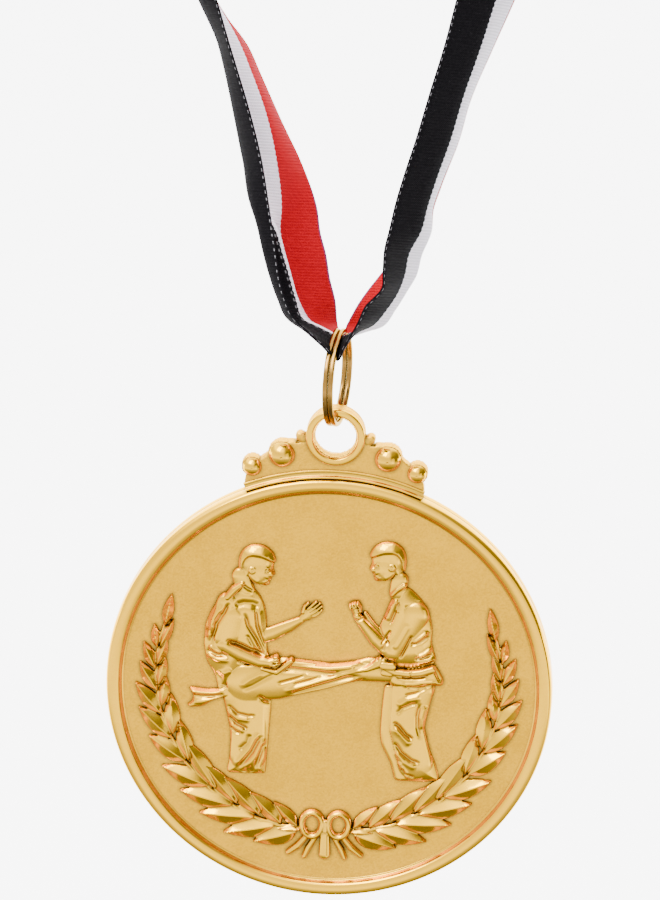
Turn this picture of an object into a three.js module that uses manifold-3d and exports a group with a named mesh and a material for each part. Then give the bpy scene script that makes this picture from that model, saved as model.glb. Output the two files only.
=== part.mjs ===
// A sports award medal: a die-cast disc with a beaded crest and an eyelet, a two-turn split ring through
// the eyelet, and a three-band woven neck ribbon that runs through the ring and is sewn into a loop.
// Units are millimetres and +Z is up. The face of the medal looks along -Y, and the origin is the point
// where the top of the ribbon loop rests on a neck or a hook. Everything below is laid out from the centre
// of the disc and lowered as one group at the end.
import * as THREE from 'three';
import { ConvexGeometry } from 'three/addons/geometries/ConvexGeometry.js';
import { mergeVertices } from 'three/addons/utils/BufferGeometryUtils.js';
import Module from 'manifold-3d';

const wasm = await Module();
wasm.setup();

// ---- driving dimensions ----
const DISC_RADIUS = 32.5;
const PLATE_HALF = 1.0; // half the thickness of the recessed plate
const RIM_HEIGHT = 1.0; // how far each rim stands above the plate
const RIM_WIDTH = 2.1;
const ROUND_STEPS = 72; // facets round the disc

const CREST_HALF_ANGLE = 23.5; // degrees either side of the top
const LEDGE_GAP = 0.05; // between the rim and the curved ledge of the crest
const LEDGE_WIDTH = 1.2;
const BIG_BEAD = { x: 7.65, z: 35.75, radius: 1.95 };
const SMALL_BEAD = { x: 11.9, z: 33.7, radius: 1.45 };
const BEAD_CENTRE_DEPTH = 0.4; // bead centres lie this far behind the plate's face

const EYELET_Z = 38.8;
const EYELET_RADIUS = 4.3;
const EYELET_HOLE = 2.9; // at its waist; the hole opens towards both faces
const HOLE_DRAFT = 0.2;
const COLLAR_HEIGHT = 0.5;

const RING_OUTER = 7.1;
const WIRE = 0.75; // the ring's wire, square with rounded corners
const COIL_PITCH = 0.8; // from one turn to the next
const COIL_STEP_ANGLE = 24; // degrees taken by the step from one turn to the next
const RING_TURN = -8.2; // degrees the ring hangs out of square with the disc, seen from above
const RING_PLAY = 0.45; // between the wire and the top of the eyelet's hole

const RIBBON_WIDTH = 20;
const RIBBON_THICKNESS = 0.8;
const LOOP_LENGTH = 800; // along the middle of the ribbon, once round
const SEAM_OVERLAP = 20;
const STRAND_ANGLE = 18.5; // degrees from vertical
const FOLD_RADIUS = 3.4; // where the ribbon passes under the ring's wire
const RIBBON_PLAY = 0.35; // between the wire and the ribbon
const GATHERED_THICKNESS = 1.0;
const GATHERED_WIDTH = 9.2;
const GATHER_REACH = 26; // the ribbon is flat again this far from the fold
const RIBBON_STEPS = 150;
const LAYER_GAP = 0.3; // between the two layers at the seam
const STITCH_THICKNESS = 0.4;

const BRANCH_ANGLES = [191, 291]; // where the left laurel branch starts and ends, degrees from the top
const LEAF_PAIRS = 9;

// ---- places worked out from them ----
const FRONT = -PLATE_HALF; // the plate's face, where all the relief rests
const RING_INNER = RING_OUTER - WIRE;
const RING_MIDDLE = RING_OUTER - WIRE / 2;
const RING_Z = EYELET_Z + EYELET_HOLE - RING_PLAY + RING_INNER;
const FOLD_BOTTOM_Z = RING_Z + RING_INNER - RIBBON_PLAY - GATHERED_THICKNESS / 2;
const FOLD_CENTRE_Z = FOLD_BOTTOM_Z + FOLD_RADIUS;
const LEAN = THREE.MathUtils.degToRad(STRAND_ANGLE);
const FOLD_ARC = FOLD_RADIUS * (Math.PI / 2 - LEAN);
const NECK_TURN = Math.PI / 2 + LEAN;
const STRAND = (LOOP_LENGTH / 2 - FOLD_ARC - FOLD_RADIUS * NECK_TURN) / (1 + Math.tan(LEAN) * NECK_TURN);
const NECK_RADIUS = FOLD_RADIUS + STRAND * Math.tan(LEAN);
const NECK_CENTRE_Z = FOLD_CENTRE_Z + STRAND / Math.cos(LEAN);
const NECK_REST_Z = NECK_CENTRE_Z + NECK_RADIUS - RIBBON_THICKNESS / 2;

// ---- finishes ----
function finish(color, roughness, metalness) {
  return new THREE.MeshStandardMaterial({ color, roughness, metalness });
}
const SANDBLASTED_GOLD = () => finish(0xe0ba72, 0.55, 1);
const POLISHED_GOLD = () => finish(0xecc27a, 0.22, 1);
const BRASS_WIRE = () => finish(0xc39a5d, 0.25, 1);
const WOVEN_RIBBON = () => finish(0x232024, 0.85, 0);
const SEWING_THREAD = () => finish(0xe4e0ea, 0.8, 0);

// ---- helpers ----
function volumeOf(geometry) {
  const p = geometry.attributes.position;
  const index = geometry.index.array;
  const [a, b, c] = [new THREE.Vector3(), new THREE.Vector3(), new THREE.Vector3()];
  let sum = 0;
  for (let i = 0; i < index.length; i += 3) {
    a.fromBufferAttribute(p, index[i]);
    b.fromBufferAttribute(p, index[i + 1]);
    c.fromBufferAttribute(p, index[i + 2]);
    sum += a.dot(b.cross(c)) / 6;
  }
  return sum;
}

// A closed mesh with shared vertices and its faces pointing out.
function closed(geometry) {
  const bare = geometry.clone();
  bare.deleteAttribute('normal');
  bare.deleteAttribute('uv');
  const merged = mergeVertices(bare, 1e-4);
  if (volumeOf(merged) < 0) {
    merged.index.array.reverse();
  }
  return merged;
}

function toSolid(geometry) {
  const mesh = closed(geometry);
  return new wasm.Manifold(
    new wasm.Mesh({
      numProp: 3,
      vertProperties: new Float32Array(mesh.attributes.position.array),
      triVerts: new Uint32Array(mesh.index.array),
    }),
  );
}

function fromSolid(solid) {
  const mesh = solid.getMesh();
  const geometry = new THREE.BufferGeometry();
  geometry.setAttribute('position', new THREE.BufferAttribute(new Float32Array(mesh.vertProperties), 3));
  geometry.setIndex(new THREE.BufferAttribute(new Uint32Array(mesh.triVerts), 1));
  return geometry;
}

function joined(geometries) {
  const [first, ...rest] = geometries.map(toSolid);
  return rest.reduce((whole, piece) => whole.add(piece), first);
}

function piece(name, geometry, material, place = [0, 0, 0]) {
  const mesh = new THREE.Mesh(geometry, material);
  mesh.name = name;
  mesh.position.set(...place);
  return mesh;
}

const polar = (radius, degreesFromTop) => {
  const angle = THREE.MathUtils.degToRad(degreesFromTop);
  return [radius * Math.sin(angle), radius * Math.cos(angle)];
};

// A flat shape in the disc's plane, given as [x, z] points, with thickness along Y centred on the plate.
function prism(points, thickness) {
  const shape = new THREE.Shape(points.map(([x, z]) => new THREE.Vector2(x, z)));
  const geometry = new THREE.ExtrudeGeometry(shape, { depth: thickness, bevelEnabled: false });
  return geometry.rotateX(Math.PI / 2).translate(0, thickness / 2, 0);
}

function circlePoints(x, z, radius, steps) {
  return Array.from({ length: steps }, (_, i) => {
    const [dx, dz] = polar(radius, (360 * i) / steps);
    return [x + dx, z + dz];
  });
}

// A turned shape about the Y axis, from [radius, height in front of the plate's face] points.
function turned(profile, steps) {
  const points = profile.map(([radius, height]) => new THREE.Vector2(radius, FRONT - height));
  return closed(new THREE.LatheGeometry(points, steps));
}

const backOf = (geometry) => closed(geometry.clone().rotateX(Math.PI));

// ---- the casting ----
function medalPlate() {
  const [footX, footZ] = polar(DISC_RADIUS - RIM_WIDTH, CREST_HALF_ANGLE);
  const crest = [
    [footX, footZ],
    [SMALL_BEAD.x + 1.2, SMALL_BEAD.z - 0.6],
    [SMALL_BEAD.x - 1.2, SMALL_BEAD.z + 1.0],
    [BIG_BEAD.x + 1.2, BIG_BEAD.z + 0.9],
    [BIG_BEAD.x - 1.4, BIG_BEAD.z + 1.4],
    [EYELET_RADIUS + 0.8, EYELET_Z - 0.6],
    [EYELET_RADIUS - 1, EYELET_Z - 0.6],
  ];
  const mirrored = crest.map(([x, z]) => [-x, z]).reverse();
  const backing = [BIG_BEAD, SMALL_BEAD].flatMap(({ x, z, radius }) =>
    [-x, x].map((side) => prism(circlePoints(side, z, radius - 0.1, 20), 2 * PLATE_HALF)),
  );
  const body = joined([
    prism(circlePoints(0, 0, DISC_RADIUS, ROUND_STEPS), 2 * PLATE_HALF),
    prism([...crest, ...mirrored], 2 * PLATE_HALF),
    prism(circlePoints(0, EYELET_Z, EYELET_RADIUS, 32), 2 * PLATE_HALF),
    ...backing,
  ]);
  const hole = turned(
    [
      [0, PLATE_HALF],
      [EYELET_HOLE + 2 * HOLE_DRAFT, PLATE_HALF],
      [EYELET_HOLE, -PLATE_HALF],
      [EYELET_HOLE + 2 * HOLE_DRAFT, -3 * PLATE_HALF],
      [0, -3 * PLATE_HALF],
    ],
    32,
  );
  return fromSolid(body.subtract(toSolid(hole.translate(0, 0, EYELET_Z))));
}

function rim() {
  const inner = DISC_RADIUS - RIM_WIDTH;
  return turned(
    [
      [inner, 0],
      [DISC_RADIUS, 0],
      [DISC_RADIUS, 0.55 * RIM_HEIGHT],
      [DISC_RADIUS - 0.35, 0.93 * RIM_HEIGHT],
      [DISC_RADIUS - 0.9, RIM_HEIGHT],
      [inner + 0.5, RIM_HEIGHT],
      [inner + 0.15, 0.7 * RIM_HEIGHT],
      [inner, 0],
    ],
    ROUND_STEPS,
  );
}

function collar() {
  return turned(
    [
      [EYELET_HOLE + HOLE_DRAFT, 0],
      [EYELET_RADIUS, 0],
      [EYELET_RADIUS, 0.6 * COLLAR_HEIGHT],
      [EYELET_RADIUS - 0.2, COLLAR_HEIGHT],
      [EYELET_HOLE + 0.45, COLLAR_HEIGHT],
      [EYELET_HOLE + HOLE_DRAFT, 0],
    ],
    32,
  );
}

// A ball sunk into the plate a little way past its middle.
function bead({ radius }) {
  const start = Math.asin(-BEAD_CENTRE_DEPTH / radius) + 2 * (BEAD_CENTRE_DEPTH / radius);
  const steps = 6;
  const profile = [[0, 0]];
  for (let i = 0; i <= steps; i += 1) {
    const angle = start + ((Math.PI / 2 - start) * i) / steps;
    profile.push([radius * Math.cos(angle), Math.max(0, radius * Math.sin(angle) - BEAD_CENTRE_DEPTH)]);
  }
  return turned(profile, 20);
}

class RingArc extends THREE.Curve {
  constructor(radius, halfAngle, y) {
    super();
    Object.assign(this, { radius, halfAngle, y });
  }

  getPoint(t, target = new THREE.Vector3()) {
    const [x, z] = polar(this.radius, this.halfAngle * (2 * t - 1));
    return target.set(x, this.y, z);
  }
}

// The bright moulding that follows the disc along the foot of the crest. In the swept section, the first
// number is the height in front of the plate and the second the way in, towards the middle of the disc.
function crestLedge() {
  const outward = LEDGE_WIDTH;
  const section = new THREE.Shape([
    new THREE.Vector2(0, 0),
    new THREE.Vector2(0, -outward),
    new THREE.Vector2(0.25, -outward),
    new THREE.Vector2(0.45, -0.55 * outward),
    new THREE.Vector2(0.8, 0),
  ]);
  const path = new RingArc(DISC_RADIUS + LEDGE_GAP, CREST_HALF_ANGLE - 1, FRONT);
  return closed(new THREE.ExtrudeGeometry(section, { steps: 24, extrudePath: path, bevelEnabled: false }));
}

// ---- the relief ----
// A low rounded mound over a convex outline of [x, z] points: its top is the same outline drawn in.
function mound(outline, height, shrink = 0.6) {
  const middle = outline.reduce(([sx, sz], [x, z]) => [sx + x / outline.length, sz + z / outline.length], [0, 0]);
  const level = (scale, up) =>
    outline.map(
      ([x, z]) =>
        new THREE.Vector3(
          middle[0] + (x - middle[0]) * scale,
          FRONT - up,
          middle[1] + (z - middle[1]) * scale,
        ),
    );
  return new ConvexGeometry([...level(1, 0), ...level((1 + shrink) / 2, 0.75 * height), ...level(shrink, height)]);
}

// A rounded bar from one [x, z, radius] to the next.
function limb(stations, height) {
  const steps = 12;
  return stations.slice(1).map((end, i) => {
    const ends = [stations[i], end];
    const level = (scale, up) =>
      ends.flatMap(([x, z, radius]) =>
        circlePoints(x, z, radius * scale, steps).map(([px, pz]) => new THREE.Vector3(px, FRONT - up, pz)),
      );
    return new ConvexGeometry([...level(1, 0), ...level(0.8, 0.7 * height), ...level(0.4, height)]);
  });
}

function kickingFigure() {
  return fromSolid(
    joined([
      ...limb([[-11.1, 19, 2.7], [-10.4, 16.8, 1.9]], 1.5),
      ...limb([[-11.6, 16.4, 1.2], [-12.3, 14.2, 1.8]], 1.1),
      ...limb([[-13.5, 12, 3.7], [-13.4, 6.5, 4.5], [-12.9, 2.5, 3.9], [-12.2, 0, 3.6]], 1.3),
      ...limb([[-15, 11.4, 1.9], [-15.9, 6.6, 1.6], [-9, 4.5, 1.1]], 1.5),
      ...limb([[-10.2, 6.9, 1.3], [-4.9, 10.5, 0.8], [-2.5, 11.9, 1.5]], 1.0),
      ...limb([[-9.5, 1.2, 3], [1.5, 1.9, 2.1], [5, 2.4, 1.5]], 1.2),
      mound([[-15.4, -1], [-8.4, -1], [-8.9, -7], [-9.1, -13.6], [-14.4, -13.7], [-14.2, -6.4]], 1.1),
      mound([[-15, 0.2], [-20.2, -0.8], [-20.4, -3.4], [-17.5, -3.1], [-14.6, -2]], 0.7),
    ]),
  );
}

function blockingFigure() {
  return fromSolid(
    joined([
      ...limb([[8.3, 20.2, 2.7], [7.8, 17.3, 2]], 1.5),
      ...limb([[9.6, 16.9, 1.2], [10.3, 14.9, 1.8]], 1.1),
      ...limb([[11.3, 12.4, 2.9], [11, 8.5, 3.6], [11.3, 3.6, 3.4]], 1.3),
      ...limb([[10.2, 11.4, 1.7], [8.2, 5.8, 1.4], [3.6, 11, 0.9], [3.2, 13.2, 1.5]], 1.5),
      ...limb([[8.4, 3.6, 0.9], [14.6, 3.9, 0.8]], 1.5),
      mound([[7.6, 3.4], [14.8, 3.4], [16.2, 1.4], [15, 0.2], [8.6, 0.2]], 1.2),
      mound([[8.9, 1.2], [15.3, 1.2], [14.1, -5.8], [13.4, -7.5], [8.2, -7.2]], 1.1),
      mound([[8.3, -5.6], [14, -5.4], [16.1, -13.3], [10.3, -13.2]], 1.1),
    ]),
  );
}

// A pointed leaf with a raised middle rib, from its root towards the tip.
function leaf([x, z], direction, length, width) {
  const along = [Math.cos(direction), Math.sin(direction)];
  const at = (t, side, up) =>
    new THREE.Vector3(
      x + along[0] * length * t - along[1] * side * width,
      FRONT - up,
      z + along[1] * length * t + along[0] * side * width,
    );
  const edge = [0, 0.25, 0.5, 0.75, 1].flatMap((t) => {
    const half = 0.06 + 0.44 * Math.sin(Math.PI * t ** 0.9);
    return [at(t, half, 0), at(t, -half, 0)];
  });
  return new ConvexGeometry([...edge, at(0.1, 0, 0.6), at(0.5, 0, 0.8), at(0.9, 0, 0.5)]);
}

// One laurel branch, rising round the left of the disc: a stem with pairs of leaves, and one at the tip.
function laurelBranch() {
  const stemAt = (t) => {
    const radius = 22.8 + 3.4 * Math.sin((t * Math.PI) / 2);
    return polar(radius, THREE.MathUtils.lerp(...BRANCH_ANGLES, t));
  };
  const stem = limb(
    Array.from({ length: LEAF_PAIRS * 2 + 1 }, (_, i) => [...stemAt(i / (LEAF_PAIRS * 2)), 0.42]),
    0.5,
  );
  const leaves = [];
  for (let i = 0; i <= LEAF_PAIRS; i += 1) {
    const t = 0.03 + 0.97 * (i / LEAF_PAIRS) ** 0.92;
    const [x, z] = stemAt(t);
    const [nextX, nextZ] = stemAt(t + 0.02);
    const forward = Math.atan2(nextZ - z, nextX - x);
    const length = 7.4 - 3 * t;
    const width = 2.3 - 0.9 * t;
    const spread = i === LEAF_PAIRS ? [0] : [-0.42, 0.42];
    leaves.push(...spread.map((turn) => leaf([x, z], forward + turn, length, width)));
  }
  return fromSolid(joined([...stem, ...leaves]));
}

function mirroredBranch() {
  return closed(laurelBranch().clone().scale(-1, 1, 1));
}

function laurelBow() {
  const loopProfile = [
    [1.0, 0],
    [1.9, 0],
    [1.8, 0.6],
    [1.45, 0.85],
    [1.1, 0.6],
    [1.0, 0],
  ];
  const loops = [-1.75, 1.75].map((x) => turned(loopProfile, 20).translate(x, 0, -21));
  const tails = [-5.2, -3, 3, 5.2].flatMap((x) => limb([[0.35 * x, -22.6, 0.5], [x, -26, 0.45]], 0.6));
  return fromSolid(joined([...loops, ...limb([[0, -20.6, 0.6], [0.1, -26.6, 0.8]], 0.9), ...tails]));
}

// ---- the split ring ----
// Two turns in planes side by side, with a step from one to the other just before the wire's first end.
class CoilPath extends THREE.Curve {
  getPoint(t, target = new THREE.Vector3()) {
    const step = THREE.MathUtils.degToRad(COIL_STEP_ANGLE);
    const turn = 2 * Math.PI;
    const angle = t * (2 * turn - step);
    const across = THREE.MathUtils.smoothstep(angle, turn - step, turn);
    return target.set(
      (across - 0.5) * COIL_PITCH,
      RING_MIDDLE * Math.sin(angle - turn / 3),
      -RING_MIDDLE * Math.cos(angle - turn / 3),
    );
  }
}

function splitRing() {
  const half = WIRE / 2;
  const corner = 0.55 * half;
  const section = new THREE.Shape(
    [[half, corner], [corner, half], [-corner, half], [-half, corner]]
      .flatMap(([x, y]) => [[x, y], [-x, -y]])
      .map(([x, y]) => new THREE.Vector2(x, y))
      .sort((a, b) => a.angle() - b.angle()),
  );
  return closed(
    new THREE.ExtrudeGeometry(section, { steps: 84, extrudePath: new CoilPath(), bevelEnabled: false }),
  );
}

// ---- the ribbon ----
// Where the middle of the ribbon runs, and which way, at a distance s from the fold under the ring: the fold's
// arc, a straight strand, and the arc behind the neck. Positive s is the right-hand strand.
function ribbonPath(s) {
  const side = Math.sign(s) || 1;
  const run = Math.abs(s);
  if (run <= FOLD_ARC) {
    const angle = run / FOLD_RADIUS;
    return {
      x: side * FOLD_RADIUS * Math.sin(angle),
      z: FOLD_CENTRE_Z - FOLD_RADIUS * Math.cos(angle),
      climb: side * angle,
    };
  }
  if (run <= FOLD_ARC + STRAND) {
    const along = run - FOLD_ARC;
    return {
      x: side * (FOLD_RADIUS * Math.cos(LEAN) + along * Math.sin(LEAN)),
      z: FOLD_CENTRE_Z - FOLD_RADIUS * Math.sin(LEAN) + along * Math.cos(LEAN),
      climb: side * (Math.PI / 2 - LEAN),
    };
  }
  const angle = (run - FOLD_ARC - STRAND) / NECK_RADIUS - LEAN;
  return {
    x: side * NECK_RADIUS * Math.cos(angle),
    z: NECK_CENTRE_Z + NECK_RADIUS * Math.sin(angle),
    climb: side * (Math.PI / 2 + angle),
  };
}

// Degrees the ribbon is turned about its own length: none at the fold and behind the neck, and up to a
// quarter turn on each strand just above the ring, both strands the same way seen from above.
function ribbonTurn(s) {
  const run = Math.abs(s);
  const most = s < 0 ? 80 : -85;
  const away = s < 0 ? [26, 80] : [40, 180];
  return most * THREE.MathUtils.smoothstep(run, 3, 20) * (1 - THREE.MathUtils.smoothstep(run, ...away));
}

// Bends flat ribbon coordinates into place: x across (positive is the edge that faces forward at the ring),
// y up from the middle of the ribbon's thickness on its inner side, and z along.
function layRibbon(geometry) {
  const p = geometry.attributes.position;
  const reach = RING_INNER - RIBBON_PLAY - GATHERED_THICKNESS / 2;
  for (let i = 0; i < p.count; i += 1) {
    const across = p.getX(i);
    const up = p.getY(i);
    const s = p.getZ(i);
    const gather = 1 - THREE.MathUtils.smoothstep(Math.abs(s), 3, GATHER_REACH);
    const bow = (across * GATHERED_WIDTH) / RIBBON_WIDTH / reach;
    const thick = THREE.MathUtils.lerp(1, GATHERED_THICKNESS / RIBBON_THICKNESS, gather) * up;
    const wide = THREE.MathUtils.lerp(across, (reach + thick) * Math.sin(bow), gather);
    const high = THREE.MathUtils.lerp(thick, (reach + thick) * Math.cos(bow) - reach, gather);
    const turn = THREE.MathUtils.degToRad(ribbonTurn(s));
    const forward = wide * Math.cos(turn) + high * Math.sin(turn);
    const inward = high * Math.cos(turn) - wide * Math.sin(turn);
    const { x, z, climb } = ribbonPath(s);
    const yaw = THREE.MathUtils.degToRad(RING_TURN) * gather;
    const flatX = x - inward * Math.sin(climb);
    p.setXYZ(
      i,
      flatX * Math.cos(yaw) + forward * Math.sin(yaw),
      flatX * Math.sin(yaw) - forward * Math.cos(yaw),
      z + inward * Math.cos(climb),
    );
  }
  return closed(geometry);
}

// The right-hand end lies outside the left-hand end where they overlap behind the neck.
function liftedEnd(s) {
  const start = LOOP_LENGTH / 2 - SEAM_OVERLAP;
  return -(RIBBON_THICKNESS + LAYER_GAP) * THREE.MathUtils.smoothstep(s, start - SEAM_OVERLAP, start);
}

function neckRibbon() {
  const length = LOOP_LENGTH + SEAM_OVERLAP;
  const band = new THREE.BoxGeometry(RIBBON_WIDTH, RIBBON_THICKNESS, length, 4, 1, RIBBON_STEPS);
  const p = band.attributes.position;
  const fine = 0.35; // share of the steps' length near the fold, against evenly spaced steps
  for (let i = 0; i < p.count; i += 1) {
    const t = (2 * p.getZ(i)) / length;
    const s = (length / 2) * (fine * t + (1 - fine) * t ** 3);
    p.setZ(i, s);
    p.setY(i, p.getY(i) + liftedEnd(s));
  }
  return layRibbon(band);
}

// The box of stitches through both layers, as the frame of thread that shows on the outer one.
function seamStitching() {
  const [halfWidth, halfLength, line] = [0.4 * RIBBON_WIDTH, 0.35 * SEAM_OVERLAP, 0.7];
  const rectangle = (x, y) => [[-x, -y], [x, -y], [x, y], [-x, y]].map(([a, b]) => new THREE.Vector2(a, b));
  const outline = new THREE.Shape(rectangle(halfWidth, halfLength));
  outline.holes.push(new THREE.Path(rectangle(halfWidth - line, halfLength - line)));
  const frame = new THREE.ExtrudeGeometry(outline, { depth: STITCH_THICKNESS, bevelEnabled: false });
  frame.rotateX(Math.PI / 2);
  const outside = -1.5 * RIBBON_THICKNESS - 2 * LAYER_GAP;
  return layRibbon(frame.translate(0, outside, LOOP_LENGTH / 2));
}

// ---- the assembly ----
const atEyelet = [0, 0, EYELET_Z];
const medal = new THREE.Group();
medal.add(
  piece('medal_plate', medalPlate(), SANDBLASTED_GOLD()),
  piece('front_rim', rim(), POLISHED_GOLD()),
  piece('back_rim', backOf(rim()), POLISHED_GOLD()),
  piece('crest_ledge', crestLedge(), POLISHED_GOLD()),
  piece('eyelet_front_collar', collar(), POLISHED_GOLD(), atEyelet),
  piece('eyelet_back_collar', backOf(collar()), POLISHED_GOLD(), atEyelet),
  piece('kicking_figure', kickingFigure(), POLISHED_GOLD()),
  piece('blocking_figure', blockingFigure(), POLISHED_GOLD()),
  piece('laurel_left', laurelBranch(), POLISHED_GOLD()),
  piece('laurel_right', mirroredBranch(), POLISHED_GOLD()),
  piece('laurel_bow', laurelBow(), POLISHED_GOLD()),
);
for (const [side, sign] of [['left', -1], ['right', 1]]) {
  for (const [place, size] of [['inner', BIG_BEAD], ['outer', SMALL_BEAD]]) {
    medal.add(piece(`bead_${side}_${place}`, bead(size), POLISHED_GOLD(), [sign * size.x, 0, size.z]));
  }
}

const ring = new THREE.Group();
ring.position.z = RING_Z;
ring.rotation.z = THREE.MathUtils.degToRad(RING_TURN);
ring.add(piece('split_ring', splitRing(), BRASS_WIRE()));

const ribbon = new THREE.Group();
ribbon.add(
  piece('neck_ribbon', neckRibbon(), WOVEN_RIBBON()),
  piece('seam_stitching', seamStitching(), SEWING_THREAD()),
);

const neckMedal = new THREE.Group();
neckMedal.position.z = -NECK_REST_Z;
neckMedal.add(medal, ring, ribbon);

export default neckMedal;
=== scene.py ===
"""A gold sports medal on a split ring and a three-band neck ribbon."""

import math

import bpy
import numpy as np
from mathutils import Matrix, Vector


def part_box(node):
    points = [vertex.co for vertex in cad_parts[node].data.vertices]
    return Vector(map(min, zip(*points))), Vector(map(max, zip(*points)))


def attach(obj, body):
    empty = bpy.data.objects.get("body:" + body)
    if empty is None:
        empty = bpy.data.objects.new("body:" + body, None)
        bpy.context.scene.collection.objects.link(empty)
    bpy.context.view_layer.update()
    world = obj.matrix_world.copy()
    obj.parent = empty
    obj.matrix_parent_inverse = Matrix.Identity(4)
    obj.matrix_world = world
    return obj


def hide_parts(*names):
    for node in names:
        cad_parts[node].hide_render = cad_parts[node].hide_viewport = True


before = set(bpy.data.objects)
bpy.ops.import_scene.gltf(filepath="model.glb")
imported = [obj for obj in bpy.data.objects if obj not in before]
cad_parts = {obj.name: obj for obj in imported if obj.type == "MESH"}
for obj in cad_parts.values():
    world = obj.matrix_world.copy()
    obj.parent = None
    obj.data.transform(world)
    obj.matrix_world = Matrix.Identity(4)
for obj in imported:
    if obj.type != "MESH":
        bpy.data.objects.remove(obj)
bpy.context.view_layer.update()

# All modelling is in millimetres from the centre of the disc, with x right, y back and z up.
RIM_LOW, RIM_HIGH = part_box("front_rim")
DISC_Z = (RIM_LOW.z + RIM_HIGH.z) / 2
RING_LOW, RING_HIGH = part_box("split_ring")
RING_Z = ((RING_LOW.z + RING_HIGH.z) / 2 - DISC_Z) * 1000
EYE_LOW, EYE_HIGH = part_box("eyelet_front_collar")
EYELET_Z = ((EYE_LOW.z + EYE_HIGH.z) / 2 - DISC_Z) * 1000
FACE = 1.0  # the plate's face is this far in front of the disc's middle
CELL = 0.1  # spacing of the relief's points
RELIEF_TOP = 1.5


def smooth(t, a=0.0, b=1.0):
    t = np.clip((np.asarray(t, float) - a) / (b - a), 0, 1)
    return t * t * (3 - 2 * t)


# ---- materials ----
class Nodes:
    """Short-hand for building a node material."""

    def __init__(self, name, holder=None):
        self.material = holder or bpy.data.materials.new(name)
        self.material.use_nodes = True
        self.tree = self.material.node_tree
        self.shader = self.tree.nodes["Background" if holder else "Principled BSDF"]

    def add(self, kind, inputs=(), **settings):
        node = self.tree.nodes.new(kind)
        for key, value in settings.items():
            setattr(node, key, value)
        for key, value in dict(inputs).items():
            self.give(node.inputs[key], value)
        return node

    def give(self, socket, value):
        if isinstance(value, bpy.types.NodeSocket):
            self.tree.links.new(value, socket)
        else:
            socket.default_value = value

    def math(self, operation, a, b=0.0):
        return self.add("ShaderNodeMath", {0: a, 1: b}, operation=operation).outputs[0]

    def mix(self, factor, a, b):
        node = self.add("ShaderNodeMix", data_type="RGBA")
        self.give(node.inputs[0], factor)
        self.give(node.inputs[6], a)
        self.give(node.inputs[7], b)
        return node.outputs[2]

    def times(self, a, b):
        return self.math("MULTIPLY", a, b)

    def where(self):
        return self.add("ShaderNodeTexCoord").outputs["Object"]

    def crevice_shade(self, distance):
        """1 on open surfaces, falling towards 0 in corners narrower than the distance; used to paint shade
        into corners.
        """
        return self.add("ShaderNodeAmbientOcclusion", {"Distance": distance}, samples=6).outputs["AO"]

    def noise(self, scale, detail=2.0, roughness=0.5):
        settings = {"Vector": self.where(), "Scale": scale, "Detail": detail, "Roughness": roughness}
        return self.add("ShaderNodeTexNoise", settings).outputs["Fac"]

    def step(self, value, low, high, out_low=0.0, out_high=1.0):
        node = self.add("ShaderNodeMapRange", {0: value, 1: low, 2: high, 3: out_low, 4: out_high})
        node.clamp = True
        return node.outputs[0]

    def bump(self, height, distance, strength=1.0, before=None):
        node = self.add("ShaderNodeBump", {"Height": height, "Distance": distance, "Strength": strength})
        if before is not None:
            self.give(node.inputs["Normal"], before)
        return node.outputs["Normal"]

    def out(self, **values):
        for key, value in values.items():
            self.give(self.shader.inputs[key.replace("_", " ")], value)
        return self.material


CREVICE_WIDTH = 0.0006
# painted shade: the colour the gold is darkened to in narrow corners
CREVICE_SHADE_GOLD = (0.2, 0.135, 0.032, 1)
EDGE_GOLD = (1, 0.85, 0.5, 1)


def gold(name, base, shade, roughness, spread, grain_scale, grain_depth, wave_depth):
    """Gold plate: a little colour and roughness variation, painted shade in narrow corners, a fine grain and
    long soft unevenness.
    """
    n = Nodes(name)
    cloud = n.noise(180, 3)
    grain = n.noise(grain_scale, 2, 0.6)
    waves = n.noise(420, 1)
    patchy = n.math("ADD", n.times(cloud, 0.4), n.times(grain, 0.6))
    colour = n.mix(n.step(patchy, 0.42, 0.6), base, shade)
    # painted shade: narrow corners of the gold are darkened by ambient occlusion
    colour = n.mix(n.step(n.crevice_shade(CREVICE_WIDTH), 0.55, 1.0), CREVICE_SHADE_GOLD, colour)
    rough = n.step(n.noise(900, 3), 0.3, 0.7, roughness - spread, roughness + spread)
    normal = n.bump(waves, wave_depth, 1.0)
    normal = n.bump(grain, grain_depth, 1.0, normal)
    return n.out(Base_Color=colour, Metallic=1.0, Roughness=rough, Normal=normal, Specular_Tint=EDGE_GOLD)


GROUND_GOLD = gold("sandblasted_gold", (0.9, 0.475, 0.006, 1), (0.76, 0.39, 0.004, 1), 0.42, 0.05,
                   3400, 0.00004, 0.00002)
BRIGHT_GOLD = gold("polished_gold", (0.93, 0.51, 0.008, 1), (0.9, 0.48, 0.006, 1), 0.15, 0.03,
                   3500, 0.000003, 0.000012)
WIRE_BRASS = gold("brass_wire", (0.34, 0.185, 0.04, 1), (0.28, 0.145, 0.028, 1), 0.19, 0.04,
                  2600, 0.000004, 0.000008)


def put(name, data):
    obj = bpy.data.objects.new(name, data)
    bpy.context.scene.collection.objects.link(obj)
    return obj


# ---- meshes ----
def place(points):
    """Millimetres from the disc's centre to the row frame's metres."""
    points = np.asarray(points, float) * 0.001
    points[:, 2] += DISC_Z
    return points


def build(name, points, faces, material, body, slot, sharp=None):
    """A mesh that rides on a body and stands in for the CAD node of the same name."""
    mesh = bpy.data.meshes.new(name)
    mesh.from_pydata(place(points).tolist(), [], [list(map(int, f)) for f in faces])
    mesh.update()
    obj = put(name, mesh)
    mesh.materials.append(material)
    mesh.shade_smooth()
    if sharp is not None:
        mesh.set_sharp_from_angle(angle=math.radians(sharp))
    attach(obj, body)
    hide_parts(name)
    return obj


def polished(name, points, faces, sharp=None):
    """A bright gilt piece of the medal."""
    build(name, points, faces, BRIGHT_GOLD, "medal", "polished_gold", sharp)


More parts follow.
